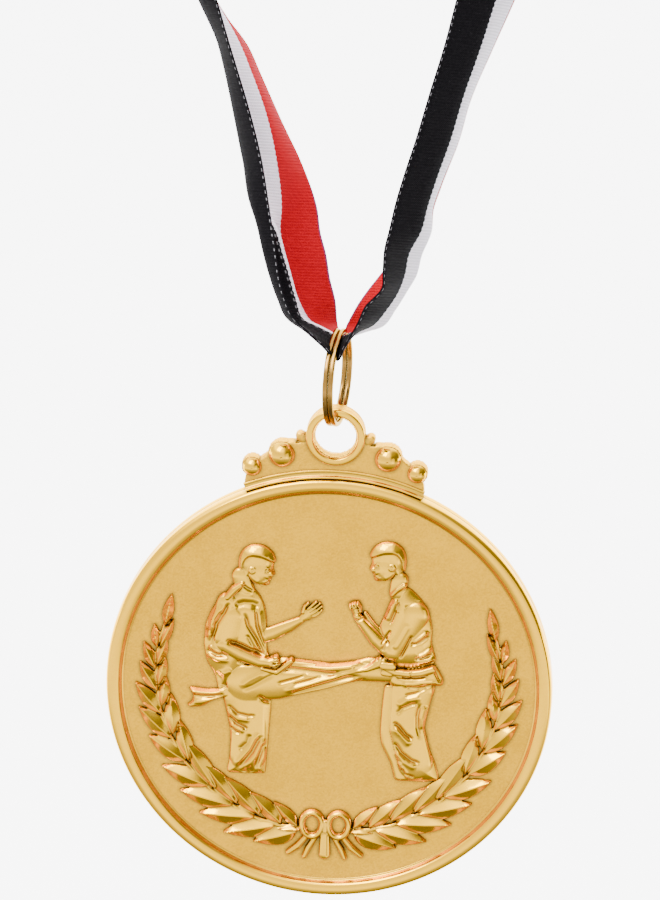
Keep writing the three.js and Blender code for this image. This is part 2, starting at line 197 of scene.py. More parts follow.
def joined(*parts):
    """Several (points, faces) put in one list."""
    points, faces, start = [], [], 0
    for p, f in parts:
        points.append(np.asarray(p, float).reshape(-1, 3))
        faces += [[i + start for i in face] for face in f]
        start += len(points[-1])
    return np.vstack(points), faces


def turned(profile, steps, centre=(0, 0, 0), start=0.0, sweep=360.0):
    """A shape turned about Y from points of (radius, height towards the front); an open sweep is capped."""
    profile = np.asarray(profile, float)
    full = sweep >= 360
    count = steps if full else steps + 1
    angles = np.radians(start + sweep * np.arange(count) / steps)
    points = np.array([[r * math.sin(a), -h, r * math.cos(a)] for a in angles for r, h in profile]) + centre
    n = len(profile)
    faces = []
    for i in range(steps):
        a, b = i * n, ((i + 1) % count) * n
        faces += [[a + j, b + j, b + (j + 1) % n, a + (j + 1) % n] for j in range(n)]
    if not full:
        faces.append(list(range(n))[::-1])
        faces.append([(count - 1) * n + j for j in range(n)])
    return points, faces


def mirrored_back(part):
    points, faces = part
    return points * [1, -1, 1], [f[::-1] for f in faces]


def rounded(points, radius, steps=4):
    """A closed (radius, height) profile with its corners rounded."""
    points = np.asarray(points, float)
    made = []
    for i, p in enumerate(points):
        before, after = points[i - 1] - p, points[(i + 1) % len(points)] - p
        lb, la = np.linalg.norm(before), np.linalg.norm(after)
        cut = min(radius, 0.45 * lb, 0.45 * la)
        a, b = p + before / lb * cut, p + after / la * cut
        for k in range(steps + 1):
            t = k / steps
            made.append((1 - t) ** 2 * a + 2 * t * (1 - t) * p + t * t * b)
    return np.array(made)


# ---- relief: a height over the plane of the disc, from limbs, patches, ridges and grooves ----
class Relief:
    """Height above the plate over a grid, and how far inside its outline each point is."""

    def __init__(self, low, high, cell):
        self.x = np.arange(low[0], high[0] + cell, cell)
        self.z = np.arange(low[1], high[1] + cell, cell)
        self.X, self.Z = np.meshgrid(self.x, self.z, indexing="ij")
        self.inside = np.full(self.X.shape, -9.0)
        self.height = np.zeros(self.X.shape)

    def nearest(self, a, b):
        """How far along a straight piece the nearest spot is (0 to 1), and the distance to it."""
        dx, dz = b[0] - a[0], b[1] - a[1]
        t = np.clip(((self.X - a[0]) * dx + (self.Z - a[1]) * dz) / max(dx * dx + dz * dz, 1e-9), 0, 1)
        return t, np.hypot(self.X - a[0] - t * dx, self.Z - a[1] - t * dz)

    def along(self, line):
        """Distance to a line through points and the share of the way along it."""
        lengths = np.hypot(*np.diff(line[:, :2], axis=0).T)
        ends = np.concatenate([[0], np.cumsum(lengths)]) / lengths.sum()
        best = np.full(self.X.shape, 1e9)
        where = np.zeros(self.X.shape)
        for k in range(len(line) - 1):
            t, d = self.nearest(line[k], line[k + 1])
            nearer = d < best
            best = np.where(nearer, d, best)
            where = np.where(nearer, ends[k] + t * (ends[k + 1] - ends[k]), where)
        return best, where

    def lay(self, inside, height, blend=0.0):
        """Joins a shape to the rest; blend softens the line where they meet."""
        height = np.where(inside > 0, height, 0)
        if blend:
            gap = np.clip(0.5 + (height - self.height) / (2 * blend), 0, 1)
            both = (inside > 0) & (self.inside > 0)
            mixed = self.height + (height - self.height) * gap + blend * gap * (1 - gap)
            self.height = np.where(both, mixed, np.maximum(self.height, height))
        else:
            self.height = np.maximum(self.height, height)
        self.inside = np.maximum(self.inside, inside)
        return self

    def limb(self, line, height, base=0.0, power=2.0, blend=0.0):
        """A rounded bar through points, each of them x, z and the radius there."""
        line = np.reshape(line, (-1, 3)).astype(float)
        best = np.full(self.X.shape, 9.0)
        room = np.full(self.X.shape, -9.0)
        for a, b in zip(line[:-1], line[1:]):
            t, d = self.nearest(a, b)
            radius = a[2] + (b[2] - a[2]) * t
            best = np.minimum(best, d / radius)
            room = np.maximum(room, radius - d)
        dome = np.maximum(1 - best**power, 0) ** (1 / power)
        return self.lay(room, base + (height - base) * dome, blend)

    def edge(self, outline):
        """Signed distance to a closed outline, positive inside."""
        outline = np.asarray(outline, float)
        closed = np.vstack([outline, outline[:1]])
        d, _ = self.along(closed)
        inside = np.zeros(self.X.shape, bool)
        for a, b in zip(closed[:-1], closed[1:]):
            crosses = (a[1] > self.Z) != (b[1] > self.Z)
            at = a[0] + (self.Z - a[1]) * (b[0] - a[0]) / (b[1] - a[1] if b[1] != a[1] else 1e-9)
            inside ^= crosses & (self.X < at)
        return np.where(inside, d, -d)

    def patch(self, outline, height, bevel, base=0.0, blend=0.0):
        """A cushion over a closed outline, falling off over the bevel's width."""
        room = self.edge(rounded(np.reshape(outline, (-1, 2)), 0.7, 3))
        t = np.clip(room / bevel, 0, 1)
        dome = np.sin(math.pi / 2 * t) ** 0.8
        return self.lay(room, base + (height - base) * dome, blend)

    def fold(self, line, width, height):
        """A ridge (or a groove, below nought) along a line in the relief, fading at its ends."""
        d, t = self.along(np.reshape(line, (-1, 2)))
        fade = smooth(t, 0, 0.18) * (1 - smooth(t, 0.82, 1))
        change = height * np.exp(-((d / width) ** 2)) * fade
        mask = smooth(self.inside, 0.0, 0.35)
        self.height = np.maximum(self.height + change * mask, 0.03)
        return self

    def mesh(self, front=FACE, sink=0.25):
        """The surface over the outline, trimmed along it, with a wall down into the plate."""
        inside, height = self.inside, np.minimum(self.height, RELIEF_TOP)
        number = {}
        points = []

        def corner(i, j):
            key = (i, j)
            if key not in number:
                number[key] = len(points)
                points.append((self.x[i], -(front + height[i, j]), self.z[j]))
            return number[key]

        def crossing(i, j, k, m):
            key = (i, j, k, m)
            if key not in number:
                a, b = inside[i, j], inside[k, m]
                t = min(max(a / (a - b), 0.02), 0.98)
                number[key] = len(points)
                points.append((self.x[i] + t * (self.x[k] - self.x[i]), -(front + 0.02),
                               self.z[j] + t * (self.z[m] - self.z[j])))
            return number[key]

        solid = inside > 0
        full = solid[:-1, :-1] & solid[1:, :-1] & solid[1:, 1:] & solid[:-1, 1:]
        some = (solid[:-1, :-1] | solid[1:, :-1] | solid[1:, 1:] | solid[:-1, 1:]) & ~full
        faces = [[corner(i, j), corner(i + 1, j), corner(i + 1, j + 1), corner(i, j + 1)]
                 for i, j in zip(*np.nonzero(full))]
        rim = []
        for i, j in zip(*np.nonzero(some)):
            ring = [(i, j), (i + 1, j), (i + 1, j + 1), (i, j + 1)]
            polygon = []
            cuts = []
            for a, b in zip(ring, ring[1:] + ring[:1]):
                if solid[a]:
                    polygon.append(corner(*a))
                if solid[a] != solid[b]:
                    p = crossing(*a, *b) if solid[a] else crossing(*b, *a)
                    cuts.append((len(polygon), p, solid[a]))
                    polygon.append(p)
            if len(polygon) >= 3:
                faces.append(polygon)
            if len(cuts) == 2:
                (_, p, leaving), (_, q, _) = cuts
                rim.append((p, q) if leaving else (q, p))
        low = {}
        for a, b in rim:
            for p in (a, b):
                if p not in low:
                    low[p] = len(points)
                    x, _, z = points[p]
                    points.append((x, -(front - sink), z))
            faces.append([a, low[a], low[b], b])
        return np.array(points), faces


# ---- the casting ----
def ball(centre, radius, steps=28):
    angles = np.linspace(0, math.pi, steps // 2 + 1)
    profile = [(max(radius * math.sin(a), 1e-4), -radius * math.cos(a)) for a in angles]
    return turned(profile, steps, centre)


BEADS = {"inner": (7.65, 35.75, 1.95), "outer": (11.9, 33.7, 1.45)}


def crest_relief():
    r = Relief((-14.5, 27.5), (14.5, 43.6), 0.14)
    half = [(12.1, 28), (13.1, 30.4), (12.9, 32.3), (11.4, 34.5), (9.9, 35.6), (8.2, 37.3), (6.5, 37.9),
            (5.2, 37.6), (3.6, 38.2)]
    outline = half + [(-x, z) for x, z in half[::-1]]
    r.patch(outline, FACE, 0.35, 0.72)
    for side in (1, -1):
        r.limb([side * 4.6, 38.2, 0.8, side * 5.1, 38.5, 0.7], FACE, 0.6)
        for x, z, radius in BEADS.values():
            r.limb([(side * x, z, radius + 0.12), (side * x + 0.01, z, radius + 0.12)], FACE, 0.75, 8)
    eye = np.hypot(r.X, r.Z - EYELET_Z)
    r.lay(4.3 - eye, np.full(r.X.shape, FACE))
    r.inside = np.minimum(r.inside, eye - 3.0)
    r.inside = np.minimum(r.inside, np.hypot(r.X, r.Z) - 31.0)
    return r


def medal_plate():
    crest = crest_relief().mesh(front=0, sink=0)
    disc = turned(rounded([(0.001, FACE), (31.2, FACE), (31.2, -FACE), (0.001, -FACE)], 0.05, 1), 256)
    eyelet = turned(rounded([(2.9, 0), (3.15, FACE + 0.05), (4.25, FACE + 0.05), (4.3, 0),
                             (4.25, -FACE - 0.05), (3.15, -FACE - 0.05)], 0.1, 3), 96, (0, 0, EYELET_Z))
    points, faces = joined(disc, crest, mirrored_back(crest), eyelet)
    build("medal_plate", points, faces, GROUND_GOLD, "medal", "sandblasted_gold", sharp=35)


def rims():
    profile = rounded([(29.95, 0.9), (30.0, 1.03), (30.22, 1.1), (30.3, 1.2), (30.6, 1.74), (30.8, 1.9),
                       (31.25, 1.98), (31.75, 1.98), (32.12, 1.88), (32.4, 1.56), (32.5, 1.1),
                       (32.5, -0.01), (29.95, -0.01)], 0.16, 3)
    part = turned(profile, 320)
    polished("front_rim", *part, sharp=60)
    polished("back_rim", *mirrored_back(part), sharp=60)


def crest_ledge():
    profile = rounded([(32.4, 0.8), (32.42, 1.3), (32.62, 1.62), (32.85, 1.6), (33.0, 1.25), (33.3, 1.12),
                       (33.6, 1.2), (33.75, 1.16), (33.8, 0.8)], 0.08, 3)
    polished("crest_ledge", *turned(profile, 90, start=-22.9, sweep=45.8), sharp=50)


def collars():
    profile = rounded([(3.12, 0.9), (3.14, 1.16), (3.38, 1.5), (3.6, 1.52), (4.05, 1.5), (4.27, 1.34),
                      (4.3, 0.9)], 0.14, 3)
    part = turned(profile, 128, (0, 0, EYELET_Z))
    polished("eyelet_front_collar", *part, sharp=50)
    polished("eyelet_back_collar", *mirrored_back(part), sharp=50)


def beads():
    for side, sign in (("left", -1), ("right", 1)):
        for name, (x, z, radius) in BEADS.items():
            polished(f"bead_{side}_{name}", *ball((sign * x, -0.6, z), radius, 48))


# ---- the figures: all in millimetres from the disc's centre, x to the right and z up ----
def head(r, x, z, size, facing, nod):
    """A head in profile of plain proportions, with cap-like hair; it faces right (1) or left (-1)."""
    c, s = math.cos(nod), math.sin(nod)

    def at(u, v):
        u, v = u * size, v * size
        return x + facing * (u * c + v * s), z - u * s + v * c

    def spot(u, v, radius, height, base, power=2.0, blend=0.06):
        px, pz = at(u, v)
        r.limb([(px, pz, radius * size), (px + 0.01, pz, radius * size)], height, base, power, blend)

    def mark(depth, width, *line):
        r.fold([at(u, v) for u, v in np.reshape(line, (-1, 2))], width * size, depth)

    skull = [(-0.46, 0.1), (-0.4, 0.36), (-0.2, 0.52), (0.08, 0.54), (0.3, 0.42), (0.4, 0.22), (0.405, 0.1),
             (0.4, 0.03), (0.47, -0.1), (0.485, -0.135), (0.41, -0.17), (0.415, -0.225), (0.4, -0.255),
             (0.405, -0.3), (0.375, -0.34), (0.385, -0.4), (0.35, -0.46), (0.24, -0.485), (0.08, -0.42),
             (-0.08, -0.34), (-0.16, -0.42), (-0.36, -0.42), (-0.38, -0.2), (-0.44, -0.05)]
    r.patch([at(u, v) for u, v in skull], 1.05, 0.28 * size, 0.1, 0.05)
    spot(0.1, -0.16, 0.27, 1.18, 0.85, 2, 0.12)
    spot(0.36, -0.12, 0.075, 1.12, 0.75, 2, 0.1)
    mark(0.1, 0.05, 0.2, 0.035, 0.29, 0.045, 0.385, 0.03)
    mark(-0.16, 0.045, 0.2, -0.03, 0.27, -0.045, 0.335, -0.035)
    spot(0.285, -0.035, 0.042, 1.1, 0.85, 2, 0.04)
    mark(-0.12, 0.03, 0.25, -0.262, 0.33, -0.262, 0.42, -0.258)
    mark(-0.06, 0.035, 0.26, -0.2, 0.24, -0.27, 0.22, -0.33)
    spot(-0.1, -0.08, 0.1, 1.32, 0.95, 3, 0.05)
    mark(-0.14, 0.032, -0.07, -0.02, -0.1, -0.07, -0.09, -0.13)
    mark(0.1, 0.06, -0.16, -0.18, -0.06, -0.28, 0.12, -0.38)
    hair = [(-0.47, -0.02), (-0.48, 0.16), (-0.42, 0.38), (-0.22, 0.55), (0.08, 0.58), (0.32, 0.46),
            (0.44, 0.26), (0.43, 0.17), (0.22, 0.13), (0.0, 0.15), (-0.2, 0.14), (-0.28, 0.02),
            (-0.3, -0.2), (-0.42, -0.26)]
    r.patch([at(u, v) for u, v in hair], 1.42, 0.3 * size, 0.25, 0.03)


def hand(r, x, z, angle, size, height, closed):
    """A hand from its wrist: a palm, four fingers and a thumb, open or closed to a fist."""
    c, s = math.cos(angle), math.sin(angle)

    def at(u, v):
        return x + size * (u * c - v * s), z + size * (u * s + v * c)

    def bar(points, top, base=0.3, blend=0.05):
        r.limb([(*at(u, v), w * size) for u, v, w in points], top, base, 2, blend)

    bar([(0.0, 0.0, 0.32), (0.45, 0.0, 0.46), (0.8, 0.02, 0.46)], height)
    if closed:
        for k in range(4):
            v = -0.42 + 0.28 * k
            bar([(0.85, v, 0.17), (1.22 - 0.05 * abs(k - 1.5), v * 0.9, 0.18)], height + 0.12, 0.4, 0.02)
        bar([(0.35, -0.42, 0.17), (0.75, -0.5, 0.17), (1.05, -0.34, 0.15)], height + 0.2, 0.4, 0.02)
    else:
        for k, reach in enumerate((0.62, 0.8, 0.84, 0.66)):
            v = -0.36 + 0.25 * k
            bar([(0.8, v, 0.14), (1.15, v * 1.12, 0.135),
                (1.0 + reach, v * 1.05 + 0.08, 0.1)], height + 0.04, 0.35, 0.015)
        bar([(0.3, 0.4, 0.16), (0.7, 0.72, 0.14), (1.1, 0.78, 0.1)], height + 0.12, 0.35, 0.02)


def creases(r, table):
    """Folds of cloth; each is its depth and width, then the x and z of its points."""
    for depth, width, *line in table:
        r.fold(line, width, depth)


def kicking_figure():
    r = Relief((-21.5, -14.6), (11.2, 23.4), CELL)
    # the far arm, reaching forward
    r.limb([-10.6, 7.4, 1.15, -8.5, 8.1, 1.1, -6, 9.4, 0.9, -4.4, 10.4, 0.62], 0.62, 0.15, 2)
    r.limb([-4.9, 10.15, 0.55, -3.7, 10.9, 0.5], 0.55, 0.15, 2)
    hand(r, -4, 10.8, math.radians(38), 1.85, 0.55, False)
    # the standing leg in its wide trouser
    standing = [-15.7, -1, -14.9, -4.2, -14.25, -7.2, -14.15, -10.2, -14.55, -13.6, -14.3, -13.95,
                -12, -14, -9.2, -13.85, -8.95, -13.6, -8.65, -8.5, -8.3, -2.6, -9.4, 1, -12.8, 1.6]
    r.patch(standing, 0.85, 2.2, 0.12)
    r.limb([-12.2, -2, 3, -11.5, -7, 2.5, -11.6, -11, 2.6], 0.98, 0.35, 2, 0.15)
    creases(r, [
        (-0.3, 0.22, -14.7, -3.1, -13.2, -4.4, -11.6, -4.7, -10.4, -4.6),
        (0.22, 0.35, -14.7, -4, -13.1, -5.1, -11.2, -5.3),
        (-0.34, 0.22, -14.5, -4.9, -13.4, -5.9, -12.1, -6.5, -11.6, -6.9),
        (0.2, 0.3, -14.3, -6, -13.2, -6.7, -12, -7.1),
        (-0.28, 0.2, -14.3, -6.6, -13.3, -7.4, -12.6, -7.5),
        (-0.26, 0.35, -11.2, -7.4, -11.6, -8.9, -12.9, -10.2),
        (0.26, 0.42, -10, -7, -11.3, -9.8, -13.6, -12.8),
        (-0.34, 0.38, -9.6, -7.5, -11, -10.4, -13.2, -13.4),
        (0.28, 0.45, -9.2, -8, -10.4, -10.8, -12.1, -13.3),
        (-0.3, 0.3, -9.1, -8.6, -9.9, -11, -10.5, -13.2),
        (0.2, 0.32, -8.9, -9.5, -9.4, -11.5, -9.8, -13.6),
        (-0.22, 0.55, -12.4, -13.9, -11.5, -12.7, -10.6, -13.7),
    ])
    # the flying corner of the jacket behind
    r.patch([-14.2, 0.3, -15.6, -0.75, -17.6, -0.95, -20.2, -0.7, -20.35, -1.1, -19.7, -2.1, -19.9, -2.9,
             -20.7, -3.6, -20.2, -3.95, -18.4, -3.8, -16.6, -2.6, -15, -2.1, -13.2, -2], 0.72, 0.5, 0.15)
    creases(r, [
        (0.34, 0.34, -20.4, -1.1, -18.6, -1.35, -16.9, -1.3, -15.3, -1),
        (-0.25, 0.28, -20, -1.9, -18.4, -2, -16.6, -1.9, -15, -1.6),
        (0.2, 0.3, -19.9, -3, -18.4, -2.8, -16.8, -2.3, -15.2, -2),
    ])
    # the kicking leg
    kick = [-15, -0.9, -12.6, 2.4, -9, 4.3, -6.6, 4.55, -3, 4.25, 0.6, 3.95, 3.6, 4.5, 6, 5.25, 8.2, 4.9,
            10.2, 3.3, 10.6, 2.2, 10.2, 1.35, 6.6, 1.5, 3.2, 1.35, -0.6, -0.1, -4.6, -1.2, -7.8, -2.1,
            -9.9, -1.9, -11.8, -0.6, -13.4, -2.4]
    r.patch(kick, 1.05, 2.3, 0.2, 0.04)
    r.limb([-12, 0.4, 2.9, -7.6, 0.9, 2.8, -2, 1.7, 2, 4, 3, 1.45, 8.6, 2.9, 1.3], 1.22, 0.5, 2.4,
           0.15)
    creases(r, [
        (0.3, 0.5, -7.2, 4.1, -3.5, 3.85, -0.4, 3.45, 2.6, 3.9, 5.6, 4.8),
        (-0.42, 0.42, -8, 2.9, -5, 2.95, -2.2, 2.75, 0.4, 2.55, 2, 2.85),
        (-0.26, 0.3, 3.2, 3.9, 4.8, 4.1, 6.8, 4.15),
        (0.24, 0.3, -6.8, -0.6, -3.8, 0.5, -0.6, 1.7, 1.8, 2.6, 4.6, 3.5),
        (-0.26, 0.26, -6.2, -1.2, -2.6, 0.2, 0.4, 1.3, 2.6, 2.1, 5, 2.6),
        (0.26, 0.28, -5, -1.5, -1.6, -0.3, 1.4, 0.9, 4.4, 2.1),
        (-0.24, 0.26, -3.2, -1.2, 0.2, -0.1, 3, 1.2, 5.8, 2.2),
        (-0.24, 0.24, -7.6, 0.6, -5, 1.5, -3, 2.4),
        (-0.2, 0.24, -5.4, 0.6, -2.8, 1.4, -0.8, 2.3),
        (-0.4, 0.34, -10.4, -1.3, -9.2, -2.2, -7.6, -2.65, -6.4, -2.5),
        (-0.16, 0.3, -12.6, -0.6, -11, 0.2, -9.2, 1.4, -7.8, 2.2),
        (0.14, 0.4, -13, -0.1, -11.4, 1.2, -9.4, 2.4),
    ])
    # the foot, turned on its edge, out of the trouser's end
    r.limb([3.6, 3.15, 0.22, 5.6, 3.6, 0.5, 7.2, 4.4, 0.72, 7.5, 5.3, 0.4], 1.35, 0.7, 2, 0.03)
    r.limb([6.6, 3.7, 0.75, 9, 3.2, 0.85, 10.3, 2.7, 0.62], 1.15, 0.5, 2, 0.08)
    # the jacket's body
    body = [-16, -1.6, -16.6, 1.4, -17.9, 3.4, -18.35, 6, -18.2, 9.2, -17.3, 11.6, -15.5, 14, -13.2, 15.8,
            -11.4, 15.3, -10.3, 14, -9.5, 12.2, -9.2, 9.8, -9.3, 7.2, -8.9, 5, -8.6, 3.9, -10.3, 3.4,
            -12.1, 2.9, -13.2, 1.4, -14.2, 0.2, -15.6, -1]
    r.patch(body, 1.15, 2.6, 0.2, 0.03)
    creases(r, [
        (-0.34, 0.24, -9.4, 4.6, -10.6, 7.2, -11.9, 9.4, -12.5, 11.6),
        (0.2, 0.3, -10.4, 12.2, -10, 9, -9.5, 6),
        (-0.3, 0.22, -10.9, 12.4, -10.6, 9.6, -9.3, 5.6),
        (-0.26, 0.26, -12.1, 8.2, -11.2, 6.4, -10.2, 5),
        (-0.3, 0.24, -17.9, 5.3, -16.4, 4.6, -14.6, 4.7),
        (0.24, 0.36, -17.9, 4.7, -16.2, 4, -14.4, 4),
        (-0.24, 0.3, -13.6, 3.9, -11.6, 3.5, -9.9, 3.9),
        (0.2, 0.42, -16.3, 1.6, -15.2, 1.9, -14, 2.4),
        (-0.26, 0.45, -16.1, 2.2, -15.6, 0.6, -15.4, -0.6),
        (-0.24, 0.24, -9, 3.6, -8, 3, -6.4, 3.3),
    ])
    # the belt's end in the near hand's shade
    r.limb([-9.8, 2.9, 0.32, -7.6, 2.4, 0.48, -5.9, 3.9, 0.55, -5.5, 4.3, 0.42], 1.34, 0.6, 2, 0.04)
    # the near arm, bent, over the body
    r.limb([-14.9, 12.6, 1.7, -15.9, 9.6, 1.75, -15.6, 7.4, 1.6], 1.3, 0.45, 2.4, 0.05)
    r.limb([-14.1, 10.8, 1.6, -14.6, 8, 1.75, -14.9, 6.6, 1.5], 1.42, 0.6, 2.2, 0.08)
    r.limb([-15.3, 6.3, 1.25, -12.9, 5, 1.2, -10.2, 3.95, 0.95, -8.6, 3.8, 0.75], 1.45, 0.55, 2.2, 0.03)
    hand(r, -9, 4, math.radians(12), 1.35, 1.42, True)
    r.fold([-15.2, 7.1, -12.9, 6.25, -10.8, 5.35, -9.3, 4.7], 0.34, -0.75)
    creases(r, [
        (-0.4, 0.28, -14.6, 13.2, -15.4, 11.4, -16.4, 9.6, -17, 7.4, -16.9, 6.2),
        (0.3, 0.42, -15.6, 12.8, -16.9, 10.4, -17.5, 8, -17.4, 6.6),
        (-0.2, 0.26, -15.7, 11.5, -16.5, 10.3, -16.9, 9),
        (0.3, 0.3, -17.6, 6.2, -16.8, 5.4, -15.6, 5),
        (-0.3, 0.22, -17.5, 5.6, -16.4, 5, -15.2, 4.9),
        (-0.42, 0.55, -14, 12.4, -12.6, 12.9, -11.4, 12.8, -10.2, 12.2),
    ])
    # the neck and the collar
    r.limb([-13.1, 16.9, 1.35, -12.5, 14.7, 1.4], 0.95, 0.3, 2, 0.08)
    r.limb([-12.9, 15.9, 0.45, -14, 14.9, 0.65, -15, 13.7, 0.55], 1.42, 0.6, 2, 0.06)
    r.fold([-13.2, 16, -12.2, 15.2, -11.2, 14.6], 0.22, -0.22)
    head(r, -10.85, 18.5, 5.9, 1, math.radians(8))
    return r


def blocking_figure():
    r = Relief((1.2, -14.4), (17.2, 24.6), CELL)
    # the far leg, showing as a strip along the near one
    r.patch([8.1, 1.2, 7.75, -3, 7.6, -6.4, 7.85, -8.4, 9.3, -11.3, 9.9, -13.7, 10.4, -14, 12.6, -13.9,
             12.6, 0.8], 0.5, 0.5, 0.12)
    # the near leg in its wide trouser
    near = [9, 2.2, 8.95, -2, 8.75, -6.2, 9, -8.2, 10.4, -11.2, 11, -13.6, 11.6, -14, 14.4, -13.95,
            16.3, -13.7, 16.45, -13.2, 15.8, -10.8, 14.45, -7.6, 14.15, -5, 14.7, -2, 15.6, 0.9, 15, 2.6,
            12, 3.4]
    r.patch(near, 1, 2.4, 0.15)
    r.limb([12.2, 0.5, 3, 11.5, -5.5, 2.5, 12.9, -11, 2.5], 1.1, 0.45, 2.2, 0.15)
    creases(r, [
        (-0.44, 0.26, 9.5, -4.5, 10.4, -5.2, 11.4, -6.4, 12.6, -7.2),
        (0.26, 0.42, 9.5, -5.4, 10.8, -6.4, 12.2, -8),
        (-0.38, 0.26, 9.7, -7.6, 10.8, -9.3, 12.3, -10.4, 13.8, -10.9),
        (0.24, 0.45, 10, -9, 11.2, -10.6, 13.2, -11.6),
        (-0.3, 0.24, 10.9, -11.6, 11.5, -12.6, 12.9, -13.2),
        (0.24, 0.3, 10.5, -10.6, 11.3, -12, 12.2, -13.4),
        (-0.28, 0.26, 13.4, -1.2, 13.05, -3.4, 13.1, -5.2, 13.6, -7.2),
        (0.26, 0.34, 14.1, -1.6, 13.7, -3.6, 13.9, -5.6),
        (-0.26, 0.28, 10, -3.4, 10.8, -2.3, 12.2, -1.6, 13.2, -1.4),
        (0.22, 0.45, 10, -2, 11.4, -0.9, 13.6, -0.4),
        (-0.24, 0.26, 11, -0.4, 12.6, 0.1, 14.4, 1.1),
    ])
    # the skirt of the jacket below the belt
    r.patch([8.3, 3.2, 8.6, 1.2, 10, 0.7, 12, 0.9, 14.3, 1.35, 16.2, 1.2, 16.75, 1.7, 16.5, 2.6, 15.6, 4.2,
             14.4, 4.3, 11, 3.6], 1.12, 0.8, 0.3, 0.04)
    creases(r, [
        (-0.4, 0.3, 9.6, 2.75, 11.2, 2.55, 13, 2.65, 14.6, 3),
        (0.24, 0.32, 10.4, 1.5, 12.2, 1.5, 14.2, 1.9, 15.8, 2.2),
        (-0.26, 0.28, 11.2, 1.2, 13.2, 1, 15.2, 1.5),
        (-0.3, 0.3, 15.4, 4, 15.9, 2.8, 16.3, 2),
    ])
    # the jacket's body
    body = [8.2, 3.6, 7.8, 5.6, 7.2, 8, 7, 9.8, 7.7, 11.6, 8.4, 13.6, 9.1, 15.2, 10.2, 16.6, 11.4, 16.2,
            13.1, 14.6, 14.3, 12.6, 14.85, 10.2, 14.75, 8, 15.2, 6.2, 15.6, 5.2, 15, 4.4, 12, 3.7]
    r.patch(body, 1.2, 2.8, 0.2, 0.03)
    creases(r, [
        (0.3, 0.34, 8, 11, 8.7, 12.8, 9.5, 14.8),
        (-0.3, 0.22, 8.6, 10.4, 9.3, 12.4, 10, 14.4),
        (0.26, 0.3, 9.3, 15.6, 9.5, 14.2, 9.7, 12.4),
        (-0.34, 0.62, 10.6, 13, 11.8, 13.2, 13, 13),
        (0.36, 0.34, 12.1, 8, 13.2, 8.9, 14.3, 9.8),
        (-0.3, 0.26, 11.6, 7.6, 13.2, 8.2, 14.4, 9),
        (0.36, 0.3, 12.8, 5.9, 13.9, 6.4, 14.9, 7.2),
        (-0.34, 0.22, 12.3, 5.5, 13.8, 5.7, 15, 6.2),
        (0.2, 0.3, 12.6, 4.9, 14, 5, 15.3, 5.6),
        (-0.2, 0.24, 13, 4.4, 14.4, 4.8, 15.4, 5.2),
    ])
    # the belt, its knot and the end pulled out by the raised foot
    r.limb([8.2, 3.9, 0.42, 9.6, 3.3, 0.5, 11.6, 3.15, 0.5, 13.4, 3.4, 0.55, 15, 4, 0.55], 1.42, 0.75, 3,
           0.03)
    r.fold([11.9, 3.9, 11.95, 3.2, 11.9, 2.5], 0.14, -0.2)
    r.limb([7.9, 4.3, 0.62, 9.2, 4.25, 0.62], 1.5, 0.85, 4, 0.02)
    r.limb([8, 3.2, 0.55, 8.9, 3.1, 0.55], 1.36, 0.7, 4, 0.02)
    r.limb([7.9, 4.9, 0.62, 7.1, 4.7, 0.62, 5.6, 3.5, 0.3], 1.3, 0.5, 2, 0.03)
    # the near arm: upper arm down to the elbow, forearm up to the fist
    r.limb([12.3, 12.2, 2, 10.8, 9, 1.8, 9.3, 6.4, 1.35], 1.42, 0.55, 2.2, 0.06)
    r.limb([8.9, 6.2, 1.25, 6.6, 8.2, 1.1, 4.6, 10.7, 0.82, 3.9, 11.7, 0.66], 1.3, 0.35, 2.2, 0.03)
    r.limb([7.9, 8.3, 0.55, 6.2, 10.2, 0.45, 5, 12, 0.35], 0.55, 0.1, 2, 0.03)
    hand(r, 3.9, 11.8, math.radians(108), 1.5, 1.1, True)
    creases(r, [
        (-0.34, 0.2, 12, 9.4, 11.2, 7.6, 10.2, 5.4),
        (-0.26, 0.22, 8.6, 8.2, 8, 7.4, 7.6, 6.6),
        (-0.28, 0.2, 8.9, 9.9, 8.2, 8.6, 7.4, 7.6),
        (-0.24, 0.18, 4.9, 11.6, 4.2, 11.2, 3.5, 11),
        (0.18, 0.4, 11.4, 11.2, 10.2, 8.8, 9.2, 7),
    ])
    # the neck and the collar
    r.limb([9.9, 17.4, 1.25, 9.6, 15.4, 1.2], 0.92, 0.3, 2, 0.08)
    r.limb([10.6, 16.8, 0.42, 9.6, 16.1, 0.42, 8.9, 15.3, 0.3], 1.28, 0.6, 2, 0.04)
    head(r, 8.1, 19.9, 5.8, -1, math.radians(6))
    return r


# ---- the laurels and the bow ----
STEM = [(-3.0, -22.2), (-6.6, -21.9), (-9.6, -21.1), (-13.0, -19.4), (-17.0, -16.6), (-20.6, -12.6),
        (-22.9, -8.6), (-24.5, -4.4), (-25.1, -0.6), (-25.3, 3.0), (-24.8, 6.6), (-23.8, 9.8)]
